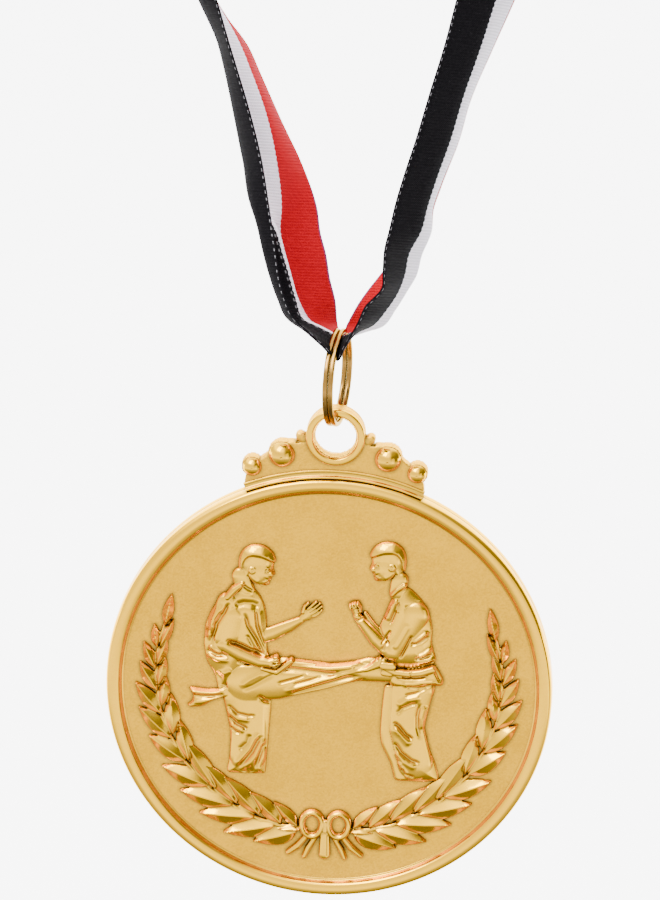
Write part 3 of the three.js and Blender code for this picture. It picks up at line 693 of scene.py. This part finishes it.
# Each leaf of the left-hand branch: where it springs, where its point is, and its half width.
LEAVES = [
    (-3.6, -22.2, -6.9, -22.3, 0.7), (-4.2, -22.6, -10.5, -24.5, 1.5), (-7.4, -21.8, -14.9, -23.3, 1.45),
    (-10.4, -20.6, -18.5, -20.4, 1.5), (-13.6, -18.9, -21.4, -17.0, 1.5), (-17.2, -16.0, -24.1, -13.3, 1.4),
    (-20.6, -12.3, -26.1, -8.6, 1.35), (-22.8, -8.8, -27.7, -4.2, 1.25), (-24.4, -5.0, -28.2, -0.4, 1.15),
    (-25.0, -1.5, -27.6, 2.9, 1.0), (-25.3, 1.9, -27.1, 6.0, 0.85), (-25.1, 5.2, -25.6, 8.8, 0.7),
    (-4.0, -21.7, -7.6, -18.2, 0.85), (-6.4, -21.4, -11.0, -16.9, 1.15), (-9.6, -20.2, -14.8, -14.7, 1.25),
    (-13.0, -18.6, -17.9, -12.6, 1.25), (-16.2, -16.4, -20.7, -9.2, 1.3), (-20.2, -12.2, -21.7, -6.0, 1.15),
    (-22.6, -8.2, -23.0, -1.9, 1.15), (-24.3, -3.8, -23.8, 0.8, 0.9), (-24.9, -0.6, -23.9, 3.8, 0.85),
    (-25.1, 2.6, -23.7, 6.7, 0.8), (-24.7, 5.4, -22.8, 9.7, 0.75), (-24.0, 8.8, -23.1, 13.6, 0.75),
]


def leaf(r, x, z, angle, length, half, top):
    """A pointed leaf with a sharp ridge down its middle, a little hollow beside it."""
    c, s = math.cos(angle), math.sin(angle)
    u = ((r.X - x) * c + (r.Z - z) * s) / length
    v = (-(r.X - x) * s + (r.Z - z) * c)
    t = np.clip(u, 0, 1)
    wide = 1.12 * half * (np.sin(math.pi * t**0.8) ** 0.8) * (1 - 0.12 * t) + 0.02
    side = np.abs(v) / wide
    room = np.where((u > 0) & (u < 1), wide - np.abs(v), -1.0)
    lengthways = 0.55 + 0.45 * np.sin(math.pi * np.clip(0.15 + 0.8 * t, 0, 1))
    height = top * lengthways * np.clip(1 - 0.8 * side**0.95, 0, 1) + 0.08
    r.lay(room, np.where(room > 0, height, 0))


def laurel(side):
    r = Relief((-29.2, -26.6), (-2.6, 16.2), CELL)
    r.limb([(x, z, 0.42 - 0.02 * k) for k, (x, z) in enumerate(STEM)], 0.55, 0.1)
    for x, z, tip_x, tip_z, half in LEAVES:
        leaf(r, x, z, math.atan2(tip_z - z, tip_x - x), math.hypot(tip_x - x, tip_z - z), half, 1.05)
    points, faces = r.mesh()
    if side > 0:
        points, faces = points * [-1, 1, 1], [f[::-1] for f in faces]
    return points, faces


def laurel_bow():
    r = Relief((-6.4, -27.6), (6.4, -18.6), CELL / 1.25)
    for side in (-1, 1):
        r.limb([side * 2.5, -23.1, 0.46, side * 3.9, -24.9, 0.54, side * 5.3, -26.0, 0.42], 0.75, 0.15)
        r.limb([side * 1.3, -23.2, 0.44, side * 2.4, -25.2, 0.5, side * 2.95, -26.5, 0.4], 0.8, 0.15)
        around = np.linspace(0, 2 * math.pi, 33)
        loop = [(side * (1.95 + 1.5 * math.cos(a)), -21.45 + 1.85 * math.sin(a), 0.56) for a in around]
        r.limb(loop, 0.92, 0.15, 1.7)
    r.limb([(0, -20.9, 0.36), (0, -22.4, 0.46)], 0.9, 0.3)
    r.limb([(0, -23.0, 0.74), (0, -26.0, 0.86)], 0.9, 0.2, 2.4)
    r.fold([(0.42, -22.4), (0.45, -24.6), (0.42, -26.6)], 0.16, -0.16)
    return r


def relief_pieces():
    for shape in (kicking_figure, blocking_figure, laurel_bow):
        polished(shape.__name__, *shape().mesh(), sharp=70)
    for name, side in (("laurel_left", -1), ("laurel_right", 1)):
        polished(name, *laurel(side), sharp=70)


# ---- the split ring ----
RING_OUTER = 7.1
WIRE = 0.75
COIL_PITCH = 0.78
SQUARENESS = 3.2  # of the wire's section: 2 is round, and more is squarer
RING_TURN = math.radians(-8.2)


def split_ring():
    """A wire coiled nearly twice, its two turns side by side and crossing over at the gap."""
    count = 520
    step = math.radians(24)
    angle = np.linspace(0, 4 * math.pi - step, count)
    across = (smooth(angle, 2 * math.pi - step, 2 * math.pi) - 0.5) * COIL_PITCH
    start = math.radians(162)
    radius = RING_OUTER - WIRE / 2
    half = WIRE / 2
    k = 20  # points round the wire
    t = np.linspace(0, 2 * math.pi, k, endpoint=False)
    cx, cy = (np.sign(f) * np.abs(f) ** (2 / SQUARENESS) * half for f in (np.cos(t), np.sin(t)))
    taper = smooth(np.arange(count), 0, 7)
    scale = 0.55 + 0.45 * taper * taper[::-1]
    points = []
    for i in range(count):
        a = angle[i] + start
        out = np.array([0, math.sin(a), -math.cos(a)])
        for j in range(k):
            points.append(out * (radius + cy[j] * scale[i]) + np.array([across[i] + cx[j] * scale[i], 0, 0]))
    faces = []
    for i in range(count - 1):
        for j in range(k):
            faces.append([i * k + j, (i + 1) * k + j, (i + 1) * k + (j + 1) % k, i * k + (j + 1) % k])
    faces.append(list(range(k)))
    faces.append([(count - 1) * k + j for j in range(k)][::-1])
    points = np.array(points)
    c, s = math.cos(RING_TURN), math.sin(RING_TURN)
    points = points @ np.array([[c, s, 0], [-s, c, 0], [0, 0, 1]]) + [0, 0, RING_Z]
    build("split_ring", points, faces, WIRE_BRASS, "ring", "brass_wire", sharp=50)


# ---- the ribbon ----
BAND = 20 / 3
RIBBON_THICKNESS = 0.45
LEAN = math.radians(18.5)  # how far each strand leans out from upright
FOLD_RADIUS = 3.4
FOLD_Z = RING_Z + 5.5 + FOLD_RADIUS
FOLD_ARC = FOLD_RADIUS * (math.pi / 2 - LEAN)
TIP = math.radians(20)  # the sections of the strands are cut on planes tipped back by this
SIDE = math.radians(3.5)  # and turned to the side by this
ACROSS = np.array([math.cos(SIDE), math.sin(SIDE), 0])
UP = np.array([-math.sin(SIDE) * math.sin(TIP), math.cos(SIDE) * math.sin(TIP), math.cos(TIP)])
AWAY = np.array([-math.sin(SIDE) * math.cos(TIP), math.cos(SIDE) * math.cos(TIP), -math.sin(TIP)])
SEEN_FROM = np.array([68.2, -1113.8, 442.6])  # where the lines of sight start

# Each row: height, where the black edge is, and the way the six half bands turn, in degrees: 0 is to the
# right and 90 is straight back.
LEFT_ROWS = [
    (52.9, -6.3, (112, 40, 88, 88, 50, 52)),
    (56.2, -8.0, (118, 24, 98, 96, 24, 30)),
    (59.5, -8.9, (128, 12, 104, 102, 14, 14)),
    (62.7, -9.4, (140, 12, 100, 98, 12, 14)),
    (66.1, -10.0, (146, 22, 95, 92, 18, 20)),
    (69.4, -10.6, (146, 72, 54, 66, 40, 28)),
    (76.1, -11.9, (130, 102, 45, 40, 52, 62)),
    (82.7, -13.7, (125, 100, 50, 36, 70, 80)),
    (89.4, -15.9, (115, 97, 60, 50, 78, 82)),
    (92.7, -17.0, (110, 99, 65, 55, 80, 82)),
    (99.4, -19.1, (125, 105, 65, 66, 95, 95)),
]
RIGHT_ROWS = [
    (52.6, 2.7, (68, 76, 72, 75, 140, 146)),
    (55.1, 3.8, (60, 64, 74, 81, 148, 152)),
    (57.8, 6.1, (68, 70, 74, 80, 146, 150)),
    (59.9, 6.2, (62, 64, 70, 74, 142, 146)),
    (63.1, 6.3, (58, 58, 68, 74, 118, 130)),
    (66.5, 7.0, (45, 47, 76, 80, 94, 112)),
    (69.9, 7.7, (43, 45, 85, 87, 84, 104)),
    (73.3, 8.6, (42, 44, 84, 87, 84, 100)),
    (80.0, 10.6, (40, 42, 80, 84, 88, 104)),
    (85.6, 12.1, (40, 42, 80, 85, 88, 105)),
    (93.5, 14.3, (36, 38, 74, 80, 88, 105)),
    (100.3, 15.9, (30, 33, 66, 72, 88, 105)),
]
WIDE = 49  # points across
HALF_LOOP = 400  # from the fold to the middle of the seam
LAP = 10  # each end runs this far past the middle of the seam
RUNS = [*range(120, 360, 20), *range(360, HALF_LOOP + LAP + 1, 10)]  # where the flat sections stand
LAP_LIFT = 1.1  # the right-hand end lies this far over the left-hand one
LENGTHWAYS = 1050  # rows of points along the ribbon


def section(row):
    """Points across the ribbon for one of the rows above, in millimetres from the disc's centre."""
    height, edge, turns = row
    middles = (np.arange(6) + 0.5) / 6
    t = np.linspace(0, 1, WIDE)
    mids = (t[:-1] + t[1:]) / 2
    soft = np.array([np.interp(mids + d, middles, turns) for d in (-0.04, 0, 0.04)]).mean(0)
    angle = np.radians(soft)
    step = 3 * BAND / (WIDE - 1)
    right = np.concatenate([[0], np.cumsum(np.cos(angle) * step)])
    back = np.concatenate([[0], np.cumsum(np.sin(angle) * step)])
    back -= back.mean() * 0.5 + 0.25 * (back.min() + back.max())
    return (edge + right)[:, None] * ACROSS + back[:, None] * AWAY + height * UP


def upright(points):
    """The same section moved along the line of sight until it stands over the ring."""
    return SEEN_FROM + (points - SEEN_FROM) * (SEEN_FROM[1] / (SEEN_FROM[1] - points[:, 1].mean()))


def ring_section(x):
    """Points across the ribbon where it passes through the ring, gathered against the inside of the wire."""
    c = np.linspace(0, 3 * BAND, WIDE)
    angle = np.radians(np.interp(c, [0, BAND, 2 * BAND, 3 * BAND], [-46, 6, 24, 52]))
    reach = 5.68 - 0.16 * np.sin(c * 1.9) ** 2
    y = reach * np.sin(angle)
    z = RING_Z + reach * np.cos(angle)
    return np.stack([np.full(WIDE, x), y, z], 1)


def flat_section(side, run):
    """Points across the flat ribbon at a distance from the fold, on one side (-1 is left)."""
    bend = math.pi / 2 + LEAN
    strand = (HALF_LOOP - FOLD_ARC - FOLD_RADIUS * bend) / (1 + math.tan(LEAN) * bend)
    neck_radius = FOLD_RADIUS + strand * math.tan(LEAN)
    neck_z = FOLD_Z + strand / math.cos(LEAN)
    if run <= FOLD_ARC + strand:
        along = run - FOLD_ARC
        x = FOLD_RADIUS * math.cos(LEAN) + along * math.sin(LEAN)
        z = FOLD_Z - FOLD_RADIUS * math.sin(LEAN) + along * math.cos(LEAN)
        out = np.array([math.cos(LEAN), 0, -math.sin(LEAN)])
    else:
        angle = (run - FOLD_ARC - strand) / neck_radius - LEAN
        x = neck_radius * math.cos(angle)
        z = neck_z + neck_radius * math.sin(angle)
        out = np.array([math.cos(angle), 0, math.sin(angle)])
    c = np.linspace(-1.5 * BAND, 1.5 * BAND, WIDE)
    lift = LAP_LIFT * smooth(run, 360, 380) if side > 0 else 0
    points = np.array([x, 0, z]) + c[:, None] * np.array([0, 1, 0]) + lift * out
    points[:, 0] *= side
    return points


def ribbon_rows():
    """All the sections, from the left-hand end of the ribbon to the right-hand one."""
    left = [upright(section(row)) for row in LEFT_ROWS[::-1]]
    right = [upright(section(row)) for row in RIGHT_ROWS]
    middle = ring_section(0.15)
    rows = [flat_section(-1, run) for run in RUNS[::-1]] + left
    rows += [left[-1] + (middle - left[-1]) * t for t in (0.36, 0.7)] + [middle]
    rows += [right[0] + (middle - right[0]) * t for t in (0.7, 0.36)] + right
    return np.array(rows + [flat_section(1, run) for run in RUNS])


def spline(knots, values, at):
    """A smooth curve through the values."""
    knots = np.asarray(knots, float)
    slope = np.empty_like(values)
    d = np.diff(values, axis=0) / np.diff(knots)[:, None, None]
    h = np.diff(knots)
    w = (h[1:] / (h[1:] + h[:-1]))[:, None, None]
    slope[1:-1] = w * d[:-1] + (1 - w) * d[1:]
    slope[0], slope[-1] = d[0], d[-1]
    k = np.clip(np.searchsorted(knots, at, side="right") - 1, 0, len(knots) - 2)
    t = ((at - knots[k]) / h[k])[:, None, None]
    hk = h[k][:, None, None]
    a, b = values[k], values[k + 1]
    return ((2 * t**3 - 3 * t**2 + 1) * a + (t**3 - 2 * t**2 + t) * hk * slope[k]
            + (-2 * t**3 + 3 * t**2) * b + (t**3 - t**2) * hk * slope[k + 1])


def ribbon_surface():
    """The middle surface of the ribbon: points[along][across], and the distance along it."""
    rows = ribbon_rows()
    middle = rows.mean(1)
    knots = np.concatenate([[0], np.cumsum(np.linalg.norm(np.diff(middle, axis=0), axis=1))])
    fine = np.linspace(0, knots[-1], 4000)
    path = spline(knots, rows, fine)
    run = np.concatenate([[0], np.cumsum(np.linalg.norm(np.diff(path.mean(1), axis=0), axis=1))])
    lowest = fine[np.argmin(path.mean(1)[:, 2])]
    dense = np.abs(fine - lowest)
    weight = np.interp(dense, [0, 70, 130, 500], [2.2, 1.6, 0.6, 0.5])
    spread = np.concatenate([[0], np.cumsum(weight[1:] * np.diff(run))])
    places = np.interp(np.linspace(0, spread[-1], LENGTHWAYS), spread, fine)
    points = spline(knots, rows, places)
    distance = np.interp(places, fine, run)
    return points, distance - distance[-1] / 2


WEFT_PITCH = 0.46  # from one rib across the ribbon to the next
WARP_PITCH = 0.42
SHADES = {"black": ((0.0035, 0.003, 0.004, 1), (0.008, 0.0068, 0.0085, 1)),
          "white": ((0.98, 0.92, 1, 1), (0.9, 0.83, 0.94, 1)),
          "red": ((0.47, 0.001, 0.01, 1), (0.38, 0.0008, 0.007, 1))}


def ribbon_material():
    n = Nodes("woven_ribbon")
    uv = n.add("ShaderNodeUVMap", uv_map="weave").outputs["UV"]
    parts = n.add("ShaderNodeSeparateXYZ", {0: uv})
    across, along = parts.outputs[0], parts.outputs[1]
    face = n.add("ShaderNodeAttribute", attribute_name="outer", attribute_type="GEOMETRY").outputs["Fac"]
    saw = n.math("PINGPONG", along, 0.42)
    first = n.math("GREATER_THAN", across, n.math("ADD", n.times(saw, 0.5), BAND - 0.1))
    second = n.math("GREATER_THAN", across, n.math("ADD", n.times(saw, 0.35), 2 * BAND - 0.07))
    speck = n.noise(2600, 3, 0.7)
    black = n.mix(n.step(speck, 0.4, 0.75), *SHADES["black"])
    white = n.mix(n.step(speck, 0.35, 0.7), *SHADES["white"])
    red = n.mix(n.step(speck, 0.35, 0.7), *SHADES["red"])
    colour = n.mix(second, n.mix(first, black, white), red)
    # white floats along the black edge on both faces, and beside the white band on the inner face
    dash = n.math("GREATER_THAN", n.math("PINGPONG", along, 0.55), 0.32)
    near_edge = n.math("LESS_THAN", n.math("ABSOLUTE", n.math("SUBTRACT", across, 0.13)), 0.07)
    stitch = n.times(n.times(dash, near_edge), 0.5)
    colour = n.mix(stitch, colour, (0.42, 0.4, 0.43, 1))
    near_band = n.times(n.math("GREATER_THAN", across, BAND - 0.62),
                       n.math("LESS_THAN", across, BAND - 0.34))
    dim = n.times(n.times(dash, near_band), n.times(face, 0.2))
    colour = n.mix(dim, colour, (0.72, 0.7, 0.74, 1))
    # a blue-black thread binds the red edge
    bound = n.math("GREATER_THAN", across, 3 * BAND - 0.28)
    colour = n.mix(n.times(bound, 0.7), colour, (0.1, 0.05, 0.16, 1))
    # plain weave: ribs across the ribbon, and threads along it, passing over and under
    weft = n.math("SINE", n.times(along, 2 * math.pi / WEFT_PITCH))
    warp = n.math("SINE", n.times(across, 2 * math.pi / WARP_PITCH))
    over = n.times(weft, warp)
    ribs = n.times(weft, 0.75)
    height = n.math("ADD", n.times(over, 0.5), ribs)
    # painted light and shade: the weave's raised threads are painted lighter and its hollows darker
    lit = n.step(n.math("ADD", height, n.times(speck, 0.4)), -1.2, 1.4, 0.72, 1.12)
    shaded = n.add("ShaderNodeHueSaturation", {"Color": colour, "Value": lit}).outputs[0]
    normal = n.bump(height, 0.00005, 0.8)
    normal = n.bump(n.noise(9000, 2), 0.00002, 0.5, normal)
    return n.out(Base_Color=shaded, Roughness=0.85, Normal=normal, Specular_IOR_Level=0.06)


def normals(points):
    along = np.gradient(points, axis=0)
    across = np.gradient(points, axis=1)
    n = np.cross(along, across)
    return n / np.maximum(np.linalg.norm(n, axis=2, keepdims=True), 1e-9)


def neck_ribbon():
    points, run = ribbon_surface()
    rows, wide, _ = points.shape
    side = normals(points)
    half = RIBBON_THICKNESS / 2
    c = np.linspace(0, 3 * BAND, wide)
    edge = np.minimum(c, 3 * BAND - c)
    swell = 1 - 0.45 * np.exp(-((edge / 0.25) ** 2))
    offset = side * (half * swell)[None, :, None]
    inner, outer = points - offset, points + offset
    grid = np.concatenate([inner, outer], axis=1)  # across: inner face, then outer face
    total = grid.shape[1]

    def at(i, j, layer):
        return i * total + layer * wide + j

    faces, uvs, layers = [], [], []

    def quad(corners, layer):
        faces.append([at(*p) for p in corners])
        uvs.append([(c[p[1]], run[p[0]]) for p in corners])
        layers.append(layer)

    for i in range(rows - 1):
        for j in range(wide - 1):
            quad([(i, j, 0), (i, j + 1, 0), (i + 1, j + 1, 0), (i + 1, j, 0)], 0)
            quad([(i, j, 1), (i + 1, j, 1), (i + 1, j + 1, 1), (i, j + 1, 1)], 1)
        quad([(i, 0, 0), (i + 1, 0, 0), (i + 1, 0, 1), (i, 0, 1)], 1)
        last = wide - 1
        quad([(i, last, 1), (i + 1, last, 1), (i + 1, last, 0), (i, last, 0)], 1)
    for i, flip in ((0, False), (rows - 1, True)):
        for j in range(wide - 1):
            corners = [(i, j, 0), (i, j, 1), (i, j + 1, 1), (i, j + 1, 0)]
            quad(corners[::-1] if flip else corners, 1)
    cloth = ribbon_material()
    obj = build("neck_ribbon", grid.reshape(-1, 3), faces, cloth, "ribbon", "woven_ribbon", sharp=60)
    layer = obj.data.uv_layers.new(name="weave")
    layer.data.foreach_set("uv", np.array([p for f in uvs for p in f], np.float32).ravel())
    outer_face = obj.data.attributes.new("outer", "FLOAT", "FACE")
    outer_face.data.foreach_set("value", np.array(layers, np.float32))


STITCH_PITCH = 2.1


def thread_material():
    n = Nodes("sewing_thread")
    speck = n.noise(3200, 3, 0.6)
    colour = n.mix(n.step(speck, 0.35, 0.7), (0.74, 0.7, 0.8, 1), (0.56, 0.52, 0.62, 1))
    twist = n.add("ShaderNodeTexWave", {"Vector": n.where(), "Scale": 900.0, "Distortion": 2.0},
                  bands_direction="DIAGONAL").outputs["Fac"]
    return n.out(Base_Color=colour, Roughness=0.75, Normal=n.bump(twist, 0.00006, 0.7), Specular_IOR_Level=0.2)


def seam_stitching():
    """A box of stitches with a cross in it, through the two layers at the top of the loop."""
    low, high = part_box("seam_stitching")
    half_x, half_y = 0.46 * (high.x - low.x) * 1000, 0.46 * (high.y - low.y) * 1000
    crown = flat_section(1, HALF_LOOP)[:, 2].mean()
    top = crown + RIBBON_THICKNESS / 2 + 0.08
    radius = 20**2 / (2 * (crown - flat_section(1, HALF_LOOP - 20)[:, 2].mean()))
    corners = [(-half_x, -half_y), (half_x, -half_y), (half_x, half_y), (-half_x, half_y)]
    lines = [(corners[k], corners[(k + 1) % 4]) for k in range(4)]
    lines += [(corners[0], corners[2]), (corners[1], corners[3])]
    parts = []
    stitch = ball((0, 0, 0), 1.0, 12)
    for (ax, ay), (bx, by) in lines:
        length = math.hypot(bx - ax, by - ay)
        count = round(length / STITCH_PITCH)
        angle = math.atan2(by - ay, bx - ax)
        c, s = math.cos(angle), math.sin(angle)
        turn = np.array([[c, s, 0], [-s, c, 0], [0, 0, 1]])
        for k in range(count):
            t = (k + 0.5) / count
            x, y = ax + (bx - ax) * t, ay + (by - ay) * t
            points = stitch[0] * [0.92, 0.3, 0.22] @ turn + [x, y, top]
            points[:, 2] -= points[:, 0] ** 2 / (2 * radius)
            parts.append((points, stitch[1]))
    build("seam_stitching", *joined(*parts), thread_material(), "ribbon", "sewing_thread")


# ---- camera, lights and floor ----
CAMERA_DISTANCE = 1.2
VIEW_HEIGHT = 0.131  # the height of the scene taken in, at the disc
AIM_RIGHT, AIM_UP = 0.0001, 0.03426  # from the disc's centre to the middle of the view
SENSOR = 36


def camera():
    elevation, azimuth, roll = math.radians(20), math.radians(3.5), math.radians(1.5)
    back = Vector((math.sin(azimuth) * math.cos(elevation), -math.cos(azimuth) * math.cos(elevation),
                   math.sin(elevation)))
    right = Vector((math.cos(azimuth), math.sin(azimuth), 0))
    up = back.cross(right)
    right, up = (right * math.cos(roll) + up * math.sin(roll), up * math.cos(roll) - right * math.sin(roll))
    data = bpy.data.cameras.new("camera")
    data.sensor_width = SENSOR
    data.lens = SENSOR * CAMERA_DISTANCE / VIEW_HEIGHT
    data.clip_start, data.clip_end = 0.01, 20
    cam = put("camera", data)
    middle = Vector((0, 0, DISC_Z)) + right * AIM_RIGHT + up * AIM_UP
    turn = Matrix((right, up, back)).transposed().to_4x4()
    cam.matrix_world = Matrix.Translation(middle + back * CAMERA_DISTANCE) @ turn
    bpy.context.scene.camera = cam


def area_light(name, place_at, target, size, power):
    data = bpy.data.lights.new(name, "AREA")
    data.shape = "RECTANGLE"
    data.size, data.size_y = size
    data.energy = power
    obj = put(name, data)
    obj.location = place_at
    obj.rotation_euler = (Vector(target) - Vector(place_at)).to_track_quat("-Z", "Y").to_euler()


# How bright the room is from straight down (0) to straight up (1).
ROOM_LEVELS = [(0.0, 0.3), (0.2, 1.0), (0.33, 2.8), (0.5, 2.1), (0.66, 1.9), (0.86, 4.4), (1.0, 3.2)]
ROOM_TOP = 4.4
DARK_SIDE = Vector((0.88, -0.25, 0.38))


def studio():
    """A bright room, lighter overhead, with one dark side up and to the right, and soft boxes."""
    focus = Vector((0, 0, DISC_Z))
    world = bpy.data.worlds.new("studio")
    bpy.context.scene.world = world
    n = Nodes("studio", world)
    look = n.add("ShaderNodeTexCoord").outputs["Generated"]
    height = n.add("ShaderNodeSeparateXYZ", {0: look}).outputs[2]
    ramp = n.add("ShaderNodeValToRGB", {0: n.step(height, -1.0, 1.0)})
    ramp.color_ramp.interpolation = "EASE"
    for place_at, _ in ROOM_LEVELS[1:-1]:
        ramp.color_ramp.elements.new(place_at)
    for element, (place_at, level) in zip(ramp.color_ramp.elements, ROOM_LEVELS):
        element.position = place_at
        element.color = (level / ROOM_TOP, level / ROOM_TOP, level / ROOM_TOP, 1)
    toward = n.add("ShaderNodeVectorMath", {0: look, 1: DARK_SIDE.normalized()}, operation="DOT_PRODUCT")
    darkening = {0: toward.outputs["Value"], 1: 0.52, 2: 0.88, 3: ROOM_TOP, 4: 0.14 * ROOM_TOP}
    shade = n.add("ShaderNodeMapRange", darkening, interpolation_type="SMOOTHSTEP")
    n.out(Color=ramp.outputs[0], Strength=shade.outputs[0])
    area_light("key", focus + Vector((-0.45, -0.55, 0.95)), focus, (0.6, 0.6), 15)
    area_light("top", focus + Vector((-0.1, -0.15, 1.0)), focus, (0.5, 0.35), 4)
    area_light("fill", focus + Vector((0.9, -0.8, -0.1)), focus, (0.5, 0.9), 2)


FLOOR_START, BACKDROP, CURVE = 0.15, 9.0, 0.5


def floor():
    """A pale floor from just behind the medal, curving up into a backdrop far behind it; it glows as painted
    light, more strongly further back.
    """
    n = Nodes("pale_floor")
    tone = n.mix(n.step(n.noise(6, 2), 0.3, 0.7), (0.93, 0.93, 0.93, 1), (0.9, 0.9, 0.9, 1))
    back = n.add("ShaderNodeSeparateXYZ", {0: n.where()}).outputs[1]
    # painted light: the floor glows, brighter further back, lighting the medal and showing in its reflections
    painted_floor_glow = n.step(back, FLOOR_START, 0.5, 1.0, 4.5)
    n.out(Base_Color=tone, Roughness=0.9, Specular_IOR_Level=0.1, Emission_Color=(1, 1, 1, 1),
          Emission_Strength=painted_floor_glow)
    low = DISC_Z - 0.3
    line = [(FLOOR_START, low)]
    for a in np.linspace(0, math.pi / 2, 25):
        line.append((BACKDROP + CURVE * math.sin(a), low + CURVE * (1 - math.cos(a))))
    line.append((BACKDROP + CURVE, BACKDROP))
    points = [(x, y, z) for y, z in line for x in (-BACKDROP, BACKDROP)]
    faces = [[2 * i, 2 * i + 1, 2 * i + 3, 2 * i + 2] for i in range(len(points) // 2 - 1)]
    mesh = bpy.data.meshes.new("backdrop")
    mesh.from_pydata(points, [], faces)
    mesh.shade_smooth()
    mesh.materials.append(n.material)
    obj = put("backdrop", mesh)


camera()
studio()
floor()
medal_plate()
rims()
crest_ledge()
collars()
beads()
split_ring()
neck_ribbon()
seam_stitching()
relief_pieces()
